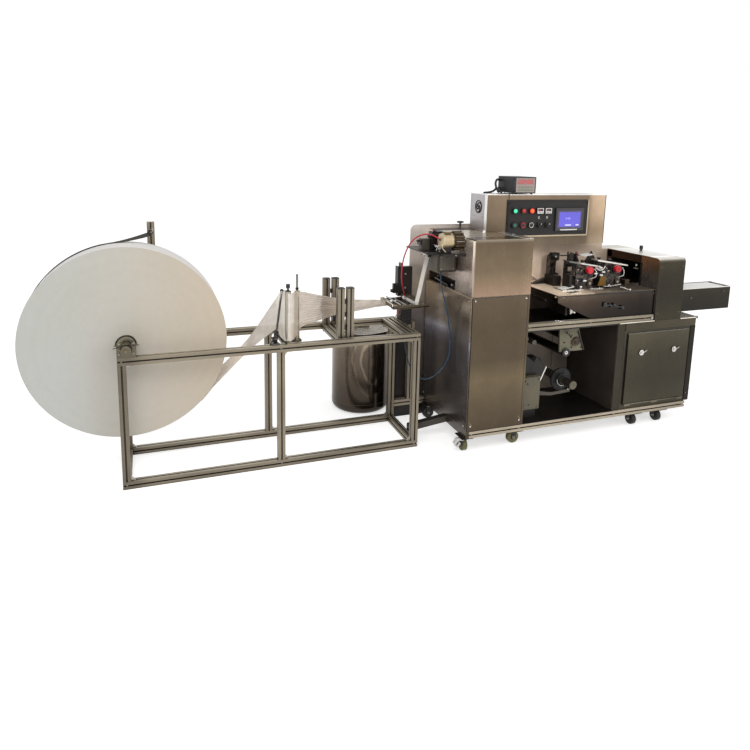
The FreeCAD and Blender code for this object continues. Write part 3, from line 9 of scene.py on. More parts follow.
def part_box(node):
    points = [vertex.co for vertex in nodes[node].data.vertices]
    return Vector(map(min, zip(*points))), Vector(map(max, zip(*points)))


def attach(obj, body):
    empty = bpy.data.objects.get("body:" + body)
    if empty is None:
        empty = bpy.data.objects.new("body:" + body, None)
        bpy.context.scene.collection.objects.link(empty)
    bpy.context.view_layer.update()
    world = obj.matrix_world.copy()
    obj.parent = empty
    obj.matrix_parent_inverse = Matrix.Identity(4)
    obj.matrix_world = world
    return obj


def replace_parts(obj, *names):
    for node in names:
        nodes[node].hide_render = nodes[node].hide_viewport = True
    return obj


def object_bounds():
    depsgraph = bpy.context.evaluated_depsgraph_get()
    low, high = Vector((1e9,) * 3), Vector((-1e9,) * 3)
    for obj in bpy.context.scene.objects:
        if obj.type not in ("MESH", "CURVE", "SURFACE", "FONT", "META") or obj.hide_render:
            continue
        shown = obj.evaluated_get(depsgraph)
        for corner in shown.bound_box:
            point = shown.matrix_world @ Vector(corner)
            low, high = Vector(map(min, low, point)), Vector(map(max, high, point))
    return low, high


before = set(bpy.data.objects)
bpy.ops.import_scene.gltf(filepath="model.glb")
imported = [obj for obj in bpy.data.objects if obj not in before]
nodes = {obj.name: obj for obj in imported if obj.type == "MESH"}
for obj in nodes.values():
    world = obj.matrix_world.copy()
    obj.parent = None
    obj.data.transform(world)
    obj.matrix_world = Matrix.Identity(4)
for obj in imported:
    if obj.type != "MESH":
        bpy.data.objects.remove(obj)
cad_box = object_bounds()

MM = 0.001
LEFT, RIGHT = (-1, 0, 0), (1, 0, 0)
FRONT, BACK = (0, -1, 0), (0, 1, 0)
DOWN, UP = (0, 0, -1), (0, 0, 1)
# The layout is measured in millimetres from the front left foot of the unwind frame.
CORNER = Vector(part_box("unwind_long_rails")[0])


def spot(x, y, z):
    """A point of the layout, in metres in the model's own frame."""
    return CORNER + Vector((x, y, z)) * MM


def edges_of(node):
    """The lowest and highest corner of a node, in the layout's millimetres."""
    low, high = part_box(node)
    return (low - CORNER) / MM, (high - CORNER) / MM


# Camera
EYE = spot(178.7, -3184.9, 1696.0)
YAW = 0.351129
PITCH = -0.165628
ROLL = 0.020780
FOCAL_PIXELS = 619.53
PHOTO_PIXELS = 750
HORIZON_PIXELS = 263


def make_camera():
    ahead = Vector((math.sin(YAW) * math.cos(PITCH), math.cos(YAW) * math.cos(PITCH), math.sin(PITCH)))
    right = Vector((math.cos(YAW), -math.sin(YAW), 0))
    up = right.cross(ahead)
    right, up = (right * math.cos(ROLL) + up * math.sin(ROLL), up * math.cos(ROLL) - right * math.sin(ROLL))
    data = bpy.data.cameras.new("camera")
    data.lens = FOCAL_PIXELS / PHOTO_PIXELS * data.sensor_width
    data.shift_y = (HORIZON_PIXELS - PHOTO_PIXELS / 2) / PHOTO_PIXELS
    data.clip_end = 100
    camera = bpy.data.objects.new("camera", data)
    bpy.context.scene.collection.objects.link(camera)
    turn = Matrix((right, up, -ahead)).transposed().to_4x4()
    camera.matrix_world = Matrix.Translation(EYE) @ turn
    bpy.context.scene.camera = camera


make_camera()

# Hoses, along the same routes as their solids. Each x is measured from the wrapper's left side.
MACHINE_X = 1865
HOSE_DIAMETER = 8 * MM
RED_HOSE = [(-135, -30, 1252), (-168, -22, 1274), (-200, -6, 1285), (-233, 14, 1280), (-265, 38, 1258),
            (-289, 64, 1218), (-302, 90, 1164), (-305, 118, 1102), (-298, 146, 1030), (-280, 176, 962),
            (-250, 214, 902), (-226, 246, 858)]
BLUE_HOSE = [(-102, 20, 1058), (-102, 21, 1008), (-90, 22, 952), (-72, 24, 896), (-54, 27, 838),
             (-38, 28, 770), (-27, 26, 700), (-21, 22, 625), (-24, 20, 558), (-36, 28, 500),
             (-55, 62, 441), (-75, 128, 376), (-99, 200, 336), (-125, 268, 338), (-149, 318, 386),
             (-167, 342, 456), (-175, 350, 530), (-177, 352, 600), (-177, 352, 668)]


def make_hose(name, route, node):
    """A round hose on a smooth curve with the route's points as its control points."""
    curve = bpy.data.curves.new(name, "CURVE")
    curve.dimensions = "3D"
    spline = curve.splines.new("NURBS")
    spline.points.add(len(route) - 1)
    places = [spot(MACHINE_X + x, y, z) for x, y, z in route]
    for control, place in zip(spline.points, places):
        control.co = (*place, 1)
        control.radius = HOSE_DIAMETER / 2
    spline.order_u = 3
    spline.use_endpoint_u = True
    curve.bevel_depth = 1
    curve.bevel_resolution = 5
    curve.resolution_u = 10
    hose = bpy.data.objects.new(name, curve)
    bpy.context.scene.collection.objects.link(hose)
    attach(hose, "machine")
    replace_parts(hose, node)
    return hose


red_hose = make_hose("red_air_hose", RED_HOSE, "red_hose")
blue_hose = make_hose("blue_air_hose", BLUE_HOSE, "blue_hose")


# Materials
SEEN_GAMMA = 2.2


def tone(red, green, blue):
    """A colour as it is seen, 0 to 255 a channel, on the shader's own scale."""
    return tuple((max(channel, 1) / 255) ** SEEN_GAMMA for channel in (red, green, blue))


def tones(*stops):
    """Tones along a ramp, each written as its place and its three channels."""
    return [(where, tone(*channels)) for where, *channels in stops]


def shade(colour, factor):
    return tuple(channel * factor for channel in colour)


# The part of a face's direction along an axis at which it starts to count as facing it, and counts in full
FACING_FROM, FACING_FULL = 0.45, 0.85


class Finish:
    """One procedural material: a Principled shader and the nodes that feed it."""

    def __init__(self, name):
        self.material = bpy.data.materials.new(name)
        self.material.use_nodes = True
        self.tree = self.material.node_tree
        self.shader = self.tree.nodes["Principled BSDF"]
        self.coordinates = self.add("ShaderNodeTexCoord")
        self.place = self.coordinates.outputs["Object"]

    def add(self, kind, sockets=None, **settings):
        node = self.tree.nodes.new(kind)
        for key, value in settings.items():
            setattr(node, key, value)
        for key, value in (sockets or {}).items():
            self.feed(node.inputs[key], value)
        return node

    def feed(self, socket, value):
        if isinstance(value, bpy.types.NodeSocket):
            self.tree.links.new(value, socket)
        else:
            socket.default_value = value

    def noise(self, scale, stretch=(1, 1, 1), detail=4, roughness=0.55, shift=(0, 0, 0)):
        """Noise between 0 and 1 at that many patches a metre, each axis stretched by its own factor."""
        mapping = self.add("ShaderNodeMapping", {"Vector": self.place, "Scale": stretch, "Location": shift})
        node = self.add("ShaderNodeTexNoise", {"Vector": mapping.outputs["Vector"], "Scale": scale,
                                               "Detail": detail, "Roughness": roughness})
        return node.outputs["Fac"]

    def ramp(self, factor, stops, smooth=False):
        """The colours of the stops along a factor. A single number is that level of grey."""
        node = self.add("ShaderNodeValToRGB", {"Fac": factor})
        node.color_ramp.interpolation = "EASE" if smooth else "LINEAR"
        elements = node.color_ramp.elements
        while len(elements) < len(stops):
            elements.new(0.5)
        for element, (where, colour) in zip(elements, stops):
            element.position = where
            element.color = (*(colour if isinstance(colour, tuple) else (colour,) * 3), 1)
        return node.outputs["Color"]

    def level(self, factor, low, high, start=0.0, end=1.0):
        """A factor from start to end turned into a value between low and high."""
        node = self.add("ShaderNodeMapRange", {"Value": factor, "From Min": start, "From Max": end,
                                               "To Min": low, "To Max": high})
        return node.outputs["Result"]

    def band(self, axis, start, end):
        """0 to 1 as the place goes from start to end along an axis, in metres."""
        parts = self.add("ShaderNodeSeparateXYZ", {"Vector": self.place})
        return self.level(parts.outputs[axis], 0, 1, start, end)

    def facing(self, axis, sign):
        """1 where the surface faces along an axis, 0 where it doesn't."""
        parts = self.add("ShaderNodeSeparateXYZ", {"Vector": self.coordinates.outputs["Normal"]})
        return self.level(self.sum("MULTIPLY", parts.outputs[axis], sign), 0, 1,
                          FACING_FROM, FACING_FULL)

    def mix(self, factor, first, second, blend="MIX"):
        node = self.add("ShaderNodeMix", data_type="RGBA", blend_type=blend)
        for index, value in ((0, factor), (6, first), (7, second)):
            if not isinstance(value, bpy.types.NodeSocket) and index:
                value = (*value, 1) if len(value) == 3 else value
            self.feed(node.inputs[index], value)
        return node.outputs[2]

    def sum(self, operation, first, second):
        node = self.add("ShaderNodeMath", {0: first, 1: second}, operation=operation)
        return node.outputs[0]

    def bump(self, height, strength, distance):
        node = self.add("ShaderNodeBump", {"Height": height, "Strength": strength, "Distance": distance})
        self.feed(self.shader.inputs["Normal"], node.outputs["Normal"])

    def set(self, **sockets):
        for key, value in sockets.items():
            self.feed(self.shader.inputs[key.replace("_", " ")], value)
        return self.material


def painted(name, colour, roughness=0.45, wear=0.25, metallic=0.0, grain=220, fade=None):
    """Paint or plastic with cloudy variation, fine grain and uneven gloss. fade is painted shade: the place
    along x, in the layout, where it starts to darken, the place where it ends, and how much is left there."""
    finish = Finish(name)
    clouds = finish.noise(7, detail=5)
    fine = finish.noise(grain, detail=3)
    base = finish.ramp(clouds, [(0.3, shade(colour, 1 - wear)), (0.7, shade(colour, 1 + wear))])
    if fade:
        start, end, left = fade
        share = finish.band("X", spot(start, 0, 0).x, spot(end, 0, 0).x)
        base = finish.mix(1, base, finish.ramp(share, [(0.0, 1.0), (1.0, left)]), "MULTIPLY")
    finish.set(Base_Color=finish.mix(0.12, base, finish.ramp(fine, [(0.35, shade(colour, 0.5)),
                                                                    (0.65, shade(colour, 1.5))])),
               Metallic=metallic,
               Roughness=finish.level(clouds, roughness - 0.08, roughness + 0.1))
    finish.bump(fine, 0.12, 0.0004)
    return finish.material


def glowing(name, colour, strength=1.0):
    """A lit lamp or display."""
    finish = Finish(name)
    clouds = finish.noise(300, detail=2)
    lit = finish.ramp(clouds, [(0.35, shade(colour, 0.8)), (0.65, colour)])
    finish.set(Base_Color=lit, Emission_Color=lit, Emission_Strength=strength, Roughness=0.3)
    return finish.material


GRAIN = {"x": (0.02, 1, 1), "y": (1, 0.02, 1), "z": (1, 1, 0.02)}
# Painted light: the pale tone of steel faces that look up
PAINTED_TOP_LIGHT = tone(226, 220, 208)


def painted_reflections_and_wear(finish, base, lines, cloud):
    """The base colour under painted cloudy reflections, smudges and fine brushed lines. Gives the colour,
    the lines and the patches."""
    streaks = finish.noise(700, stretch=GRAIN[lines], detail=2)
    large = finish.noise(2.1, stretch=GRAIN[lines] if lines == "z" else (1, 1, 1), detail=3, roughness=0.45)
    patches = finish.noise(9, detail=5, roughness=0.6)
    colour = finish.mix(1, base, finish.ramp(large, [(0.3, 1 - cloud), (0.7, 1 + cloud)],
                                             smooth=True), "MULTIPLY")
    colour = finish.mix(1, colour, finish.ramp(patches, [(0.3, 1 - cloud / 2),
                                                         (0.75, 1 + cloud / 2)]), "MULTIPLY")
    colour = finish.mix(1, colour, finish.ramp(streaks, [(0.3, 0.9), (0.7, 1.1)]), "MULTIPLY")
    return colour, streaks, patches


def steel(name, node, front, left, right=None, top=PAINTED_TOP_LIGHT, lines="z", roughness=0.3, cloud=0.16,
          metallic=0.75, across=None):
    """Stainless sheet on one node, its light, shade and reflections painted in. front and left are tones
    from the node's foot to its top, each with the share of the height where it lies: painted reflections,
    because a polished face shows other things at each height. right and top are painted light and shade
    for the faces that look that way. across names another axis and the painted light levels along it."""
    low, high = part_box(node)
    finish = Finish(name)
    rise = finish.band("Z", low.z, high.z)
    base = finish.ramp(rise, front)
    base = finish.mix(finish.facing("X", -1), base, finish.ramp(rise, left))
    if right:
        base = finish.mix(finish.facing("X", 1), base, right)
    base = finish.mix(finish.facing("Z", 1), base, top)
    if across:
        axis, levels = across
        index = "XYZ".index(axis)
        share = finish.band(axis, low[index], high[index])
        base = finish.mix(1, base, finish.ramp(share, levels), "MULTIPLY")
    colour, streaks, patches = painted_reflections_and_wear(finish, base, lines, cloud)
    finish.set(Base_Color=colour, Metallic=metallic,
               Roughness=finish.level(patches, roughness - 0.08, roughness + 0.12))
    finish.bump(streaks, 0.05, 0.0002)
    return finish.material


def metal(name, colour, roughness=0.35, lines="x", cloud=0.2, top=None, metallic=0.8):
    """Bare or plated metal of one tone, with a painted highlight where it faces up if a top tone is given."""
    finish = Finish(name)
    base = finish.mix(finish.facing("Z", 1), colour, top or colour)
    shaded, streaks, patches = painted_reflections_and_wear(finish, base, lines, cloud)
    finish.set(Base_Color=shaded, Metallic=metallic,
               Roughness=finish.level(patches, roughness - 0.08, roughness + 0.12))
    finish.bump(streaks, 0.08, 0.0002)
    return finish.material


def cluttered(name, stops):
    """Dark polished steel with painted reflections of the small bright and dark things round it, in broken
    patches.
    """
    finish = Finish(name)
    patches = finish.noise(26, stretch=(1, 1, 1.6), detail=3, roughness=0.5)
    shaded, streaks, clouds = painted_reflections_and_wear(finish, finish.ramp(patches, stops), "x", 0.25)
    finish.set(Base_Color=shaded, Metallic=0.5, Roughness=finish.level(clouds, 0.26, 0.44))
    finish.bump(streaks, 0.08, 0.0002)
    return finish.material


def profile_metal(name, side, top, slot):
    """Anodised profile: each bar painted lighter on its lips, and dark down in its slots with dirt and
    painted shade.
    """
    finish = Finish(name)
    crease = finish.add("ShaderNodeAmbientOcclusion", {"Distance": 0.02}, samples=8).outputs["AO"]
    base = finish.mix(finish.facing("Z", 1), side, top)
    base = finish.mix(finish.level(crease, 1, 0, 0.35, 0.8), base, slot)
    # The bars are darker at the frame's left end, and darker towards the floor as painted shade
    reach = finish.band("X", spot(0, 0, 0).x, spot(2000, 0, 0).x)
    base = finish.mix(1, base, finish.ramp(reach, [(0.0, 0.62), (0.03, 0.64), (0.07, 0.94),
                                                   (0.9, 0.98), (0.94, 1.0)]), "MULTIPLY")
    rise = finish.band("Z", 0.04, 0.2)
    base = finish.mix(1, base, finish.ramp(rise, [(0.0, 0.86), (1.0, 1.0)]), "MULTIPLY")
    shaded, streaks, patches = painted_reflections_and_wear(finish, base, "x", 0.16)
    finish.set(Base_Color=shaded, Metallic=0.7, Roughness=finish.level(patches, 0.34, 0.52))
    finish.bump(streaks, 0.05, 0.0002)
    return finish.material


def nonwoven(name, face, edge, clear=0.0, levels=None):
    """Spunlace cloth: a fine tangle of fibres with slightly cloudy density. levels are painted light and
    shade by its place along the layout's x."""
    finish = Finish(name)
    fibres = finish.noise(1400, detail=6, roughness=0.7)
    clouds = finish.noise(26, detail=4)
    base = finish.ramp(clouds, [(0.3, face), (0.7, edge)])
    colour = finish.mix(0.25, base, finish.ramp(fibres, [(0.3, shade(face, 0.8)), (0.7, edge)]))
    if levels:
        start, end = levels[0][0], levels[-1][0]
        reach = finish.band("X", spot(start, 0, 0).x, spot(end, 0, 0).x)
        stops = [((x - start) / (end - start), level) for x, level in levels]
        colour = finish.mix(1, colour, finish.ramp(reach, stops), "MULTIPLY")
    finish.set(Base_Color=colour, Roughness=0.95, Alpha=1 - clear)
    finish.set(Sheen_Weight=0.25, Subsurface_Weight=0.0)
    finish.bump(fibres, 0.25, 0.0006)
    return finish.material


ROLL_LOW, ROLL_HIGH = edges_of("nonwoven_roll")
ROLL_CENTRE = (ROLL_LOW + ROLL_HIGH) / 2
ROLL_RADIUS = (ROLL_HIGH.x - ROLL_LOW.x) / 2


def wound_cloth():
    """The parent roll: its flat face shows the wound layers, its rim one smooth layer."""
    finish = Finish("wound_cloth")
    axis = spot(*ROLL_CENTRE)
    parts = finish.add("ShaderNodeSeparateXYZ", {"Vector": finish.place})
    across = finish.sum("SUBTRACT", parts.outputs["X"], axis.x)
    rise = finish.sum("SUBTRACT", parts.outputs["Z"], axis.z)
    squared = finish.sum("ADD", finish.sum("MULTIPLY", across, across), finish.sum("MULTIPLY", rise, rise))
    radius = finish.sum("SQRT", squared, 0)
    layers = finish.add("ShaderNodeTexNoise", {"W": radius, "Scale": 420, "Detail": 3},
                        noise_dimensions="1D").outputs["Fac"]
    broad = finish.add("ShaderNodeTexNoise", {"W": radius, "Scale": 34, "Detail": 2},
                       noise_dimensions="1D").outputs["Fac"]
    clouds = finish.noise(2.2, detail=4)
    dust = finish.noise(40, detail=5)
    # Painted light: the face turns from cool on the left to warm on the right
    cool = tone(214, 215, 209)
    warm = tone(225, 209, 188)
    sideways = finish.level(across, 0, 1, -0.4, 0.5)
    face = finish.mix(finish.level(clouds, -0.15, 0.25, 0.3, 0.7),
                      finish.ramp(sideways, [(0.1, cool), (0.9, warm)]),
                      tone(203, 202, 180))
    face = finish.mix(1, face, finish.ramp(layers, [(0.3, 0.975), (0.7, 1.0)]), "MULTIPLY")
    face = finish.mix(1, face, finish.ramp(broad, [(0.3, 0.985), (0.7, 1.0)]), "MULTIPLY")
    face = finish.mix(1, face, finish.ramp(dust, [(0.25, 0.965), (0.7, 1.0)]), "MULTIPLY")
    rim = finish.mix(finish.facing("Y", -1), tone(244, 240, 236), face)
    finish.set(Base_Color=rim, Roughness=0.95)
    finish.set(Sheen_Weight=0.2)
    finish.bump(finish.mix(0.5, layers, dust), 0.3, 0.0012)
    return finish.material


def column_side():
    """The column's left side. Its painted bright bent reflection fades towards the front edge, and the
    side is painted lighter towards the back.
    """
    low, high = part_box("column_housing")
    finish = Finish("column_side_steel")
    front = finish.band("Y", high.y, low.y)
    rise = finish.sum("SUBTRACT", finish.band("Z", low.z, high.z), finish.sum("MULTIPLY", front, 0.07))
    wander = finish.level(finish.noise(3, detail=2), -0.012, 0.012)
    rise = finish.sum("ADD", rise, wander)
    fade = finish.ramp(front, [(0.4, 0), (0.72, 1)], smooth=True)
    base = finish.mix(fade, finish.ramp(rise, COLUMN_LEFT), finish.ramp(rise, COLUMN_LEFT_PLAIN))
    across = finish.ramp(front, [(0.0, 1.75), (0.38, 1.5), (0.58, 1.08), (0.72, 0.88),
                                 (1.0, 0.74)])
    base = finish.mix(1, base, across, "MULTIPLY")
    colour, streaks, patches = painted_reflections_and_wear(finish, base, "z", 0.16)
    finish.set(Base_Color=colour, Metallic=0.75, Roughness=finish.level(patches, 0.14, 0.34))
    finish.bump(streaks, 0.05, 0.0002)
    return finish.material


# Finishes that several pieces share
PROFILE = profile_metal("profile", tone(143, 133, 116), tone(190, 181, 163), tone(60, 53, 45))
BASE_PROFILE = profile_metal("base_profile", tone(172, 160, 141), tone(232, 222, 204), tone(62, 55, 47))
BRIGHT = metal("bright_steel", tone(206, 203, 198), 0.22, "x", 0.22)
STEEL_ROD = metal("steel_rod", tone(150, 146, 140), 0.28, "z", 0.25)
BOLT = metal("bolt", tone(172, 166, 156), 0.3, "x", 0.3)
OLIVE_METAL = metal("olive_metal", tone(122, 110, 84), 0.36, "x", 0.25, tone(178, 164, 132))
BLACK_STEEL = painted("black_steel", tone(44, 40, 38), 0.38, 0.35, 0.5)
BLACK_PLASTIC = painted("black_plastic", tone(30, 29, 30), 0.4, 0.3)
RUBBER = painted("olive_rubber", tone(116, 112, 78), 0.7, 0.18)
GREY_PAINT = painted("grey_paint", tone(92, 86, 76), 0.5, 0.12)
COUNTER_FACE = painted("counter_face", tone(173, 159, 151), 0.5, 0.08)
MOTOR_TAN = metal("motor_tan", tone(208, 190, 156), 0.4, "x", 0.15)
DARK_BRASS = metal("dark_brass", tone(80, 67, 54), 0.35, "x", 0.3)
WHITE_PLASTIC = painted("white_plastic", tone(226, 224, 220), 0.4, 0.05)
RED_PLASTIC = painted("red_plastic", tone(190, 24, 38), 0.25, 0.18)
RED_PVC = painted("red_pvc", tone(186, 34, 52), 0.28, 0.12)
BLUE_PVC = painted("blue_pvc", tone(26, 66, 92), 0.28, 0.15)
ORANGE_PVC = painted("orange_pvc", tone(226, 84, 34), 0.35, 0.1)
YELLOW_BRASS = metal("yellow_brass", tone(170, 132, 60), 0.35, "x", 0.2)
# Painted shade: a deep dark for the bay's deck and shaded hollows, the bay wall darkening towards its right
# end, and the bay's darker right side
PAINTED_DEEP_SHADE = painted("painted_deep_shade", tone(30, 27, 25), 0.42, 0.35, 0.3)
BAY_WALL = painted("bay_wall", tone(156, 141, 128), 0.45, 0.3, fade=(2720, 2960, 0.2))
SHADED_BAY_SIDE = painted("shaded_bay_side", tone(62, 56, 51), 0.4, 0.3)
BAY_ARM = painted("bay_arm", tone(96, 90, 80), 0.4, 0.25, 0.3)
BAY_GREY = painted("bay_grey", tone(103, 97, 78), 0.5, 0.15)
BAY_PLATE = painted("bay_plate", tone(32, 30, 24), 0.45, 0.2, 0.3)
BRACKET_PAINT = painted("bracket_paint", tone(112, 107, 86), 0.5, 0.28)
MAROON = painted("maroon_knob", tone(84, 26, 32), 0.35, 0.25)
DIM_AMBER = metal("dim_amber", tone(132, 100, 52), 0.4, "x", 0.35)
SMALL_TYRE = painted("small_tyre", tone(34, 32, 30), 0.6, 0.2)
KNOB_DARK = metal("knob_dark", tone(86, 84, 78), 0.35, "x", 0.25)
OLD_STEEL = metal("old_steel", tone(104, 98, 84), 0.4, "x", 0.3)
BELT = painted("belt", tone(250, 250, 248), 0.6, 0.03)
CARD = painted("core_card", tone(148, 140, 120), 0.85, 0.15)
# Painted light and shade along the web, lighter and darker as it twists
CLOTH = nonwoven("web_cloth", tone(222, 209, 194), tone(246, 237, 226), 0.1,
                 [(400, 1.35), (640, 1.25), (675, 0.88), (842, 0.9),
                  (850, (1.12, 1.15, 1.15)), (862, (1.15, 1.18, 1.18)), (868, 1.35), (878, 1.2),
                  (888, 0.98), (896, (0.83, 0.81, 0.77)), (902, (0.68, 0.63, 0.57)),
                  (914, (0.7, 0.65, 0.58)), (926, (0.83, 0.77, 0.71)), (1036, (0.86, 0.81, 0.76)),
                  (1196, (1.0, 0.98, 0.95)), (1324, 1.15)])
PALE_CLOTH = nonwoven("pale_cloth", tone(242, 234, 222), tone(254, 250, 244))
# Painted light on the wrap's left side and painted shade to its right
WRAP_CLOTH = nonwoven("wrap_cloth", tone(164, 150, 131), tone(182, 169, 151), 0.0,
                      [(906, 1.6), (917, 1.5), (923, 0.6), (934, 0.7)])
ROLLER_STEEL = metal("roller_steel", tone(168, 163, 150), 0.4, "z", 0.25, metallic=0.5)
LAMP_GREEN = glowing("lamp_green", tone(70, 214, 160), 0.9)
LAMP_RED = glowing("lamp_red", tone(190, 40, 52), 0.35)
LAMP_ORANGE = glowing("lamp_orange", tone(255, 96, 48), 1.0)
DIM_GREEN = painted("dim_green", tone(36, 110, 92), 0.3, 0.15)
SCREEN_BLUE = glowing("screen_blue", tone(90, 84, 188), 0.68)
SCREEN_LIGHT = glowing("screen_light", tone(200, 200, 240), 0.7)
DIGIT_RED = glowing("digit_red", tone(198, 60, 66), 0.5)
DIGIT_DIM = painted("digit_dim", tone(122, 140, 118), 0.4, 0.1)

# Painted light, shade and reflections of the polished faces: each list gives a face's tones from its foot to
# its top
COLUMN_FRONT = tones((0.0, 74, 64, 52), (0.25, 93, 81, 64), (0.42, 106, 93, 72), (0.55, 84, 73, 58),
                     (0.8, 84, 73, 58), (1.0, 94, 81, 66))
COLUMN_LEFT = tones((0.0, 96, 88, 82), (0.2, 92, 86, 84), (0.55, 108, 103, 104), (0.62, 142, 140, 152),
                    (0.67, 196, 196, 209), (0.7, 162, 158, 158), (0.725, 148, 138, 128), (1.0, 188, 168, 144))
COLUMN_LEFT_PLAIN = tones((0.0, 96, 88, 82), (0.2, 92, 86, 84), (0.55, 108, 103, 104), (0.66, 132, 126, 124),
                          (0.74, 150, 138, 124), (1.0, 188, 168, 144))
COVER_FRONT = tones((0.0, 152, 127, 107), (0.22, 137, 116, 95), (0.45, 117, 102, 82), (0.75, 111, 96, 77),
                    (0.94, 103, 88, 71), (1.0, 150, 139, 122))
COVER_LEFT = tones((0.0, 150, 136, 122), (0.25, 192, 176, 164), (0.5, 184, 166, 154), (0.8, 252, 234, 216),
                   (1.0, 255, 244, 228))
BOX_FRONT = tones((0.0, 110, 98, 83), (0.18, 98, 85, 70), (0.3, 96, 83, 67), (0.6, 117, 101, 84),
                  (1.0, 123, 106, 89))
BOX_LEFT = tones((0.0, 150, 144, 138), (0.5, 170, 164, 164), (1.0, 180, 176, 180))
DARK_FRONT = tones((0.0, 66, 62, 50), (0.35, 58, 54, 44), (0.7, 63, 59, 47), (1.0, 80, 75, 60))
HOOD_FRONT = tones((0.0, 60, 56, 44), (0.35, 52, 48, 38), (0.7, 56, 52, 41), (1.0, 72, 66, 53))
HOOD_LEFT = tones((0.0, 112, 106, 102), (0.5, 132, 125, 120), (0.72, 144, 130, 118), (0.84, 136, 108, 86),
                  (1.0, 152, 114, 84))
CONVEYOR_FRONT = tones((0.0, 38, 35, 29), (0.6, 44, 40, 33), (1.0, 52, 48, 40))
DARK_LEFT = tones((0.0, 40, 36, 31), (0.6, 50, 43, 37), (0.85, 92, 74, 58), (1.0, 106, 86, 67))
PLATE_FRONT = tones((0.0, 60, 56, 54), (0.5, 112, 105, 98), (0.7, 182, 172, 162), (0.88, 242, 232, 224),
                    (1.0, 244, 234, 226))
WALL_FRONT = tones((0.0, 60, 54, 50), (0.54, 60, 54, 50), (0.57, 210, 186, 164), (0.72, 238, 214, 192),
                   (0.9, 244, 221, 198), (1.0, 198, 176, 152))
TABLE_FRONT = tones((0.0, 46, 39, 33), (0.35, 56, 47, 40), (0.7, 72, 60, 50), (1.0, 96, 82, 70))
DRUM_FRONT = tones((0.0, 48, 43, 38), (0.4, 70, 62, 54), (0.8, 93, 83, 73), (1.0, 128, 118, 106))

SEAL_TONES = tones((0.0, 150, 144, 136), (0.7, 206, 200, 190), (1.0, 226, 222, 214))


def drum_steel():
    """The drum's dark polished side, with painted bent reflections of the frame and the roll in it."""
    low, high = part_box("liquid_drum")
    finish = Finish("drum_metal")
    base = finish.ramp(finish.band("Z", low.z, high.z), DRUM_FRONT)
    parts = finish.add("ShaderNodeSeparateXYZ", {"Vector": finish.place})
    wander = finish.level(finish.noise(5, detail=3), -0.05, 0.05)
    middle = spot(1535, 0, 365)
    sideways = finish.sum("MULTIPLY", finish.sum("SUBTRACT", parts.outputs["X"], middle.x), 1.5)
    rise = finish.sum("MULTIPLY", finish.sum("SUBTRACT", parts.outputs["Z"], middle.z), 0.8)
    squared = finish.sum("ADD", finish.sum("MULTIPLY", sideways, sideways),
                         finish.sum("MULTIPLY", rise, rise))
    reach = finish.sum("ADD", finish.sum("SQRT", squared, 0), wander)
    arcs = finish.ramp(finish.level(reach, 0, 1, 0, 0.3),
                       [(0.0, (1.5, 1.3, 1.1)), (0.12, 0.7), (0.32, 0.75), (0.36, (2.0, 1.95, 1.85)),
                        (0.41, 0.9), (0.56, 0.95), (0.6, (1.7, 1.65, 1.6)), (0.66, 1.0),
                        (1.0, 1.15)])
    base = finish.mix(1, base, arcs, "MULTIPLY")
    colour, streaks, patches = painted_reflections_and_wear(finish, base, "z", 0.35)
    finish.set(Base_Color=colour, Metallic=0.75, Roughness=finish.level(patches, 0.1, 0.26))
    finish.bump(streaks, 0.05, 0.0002)
    return finish.material
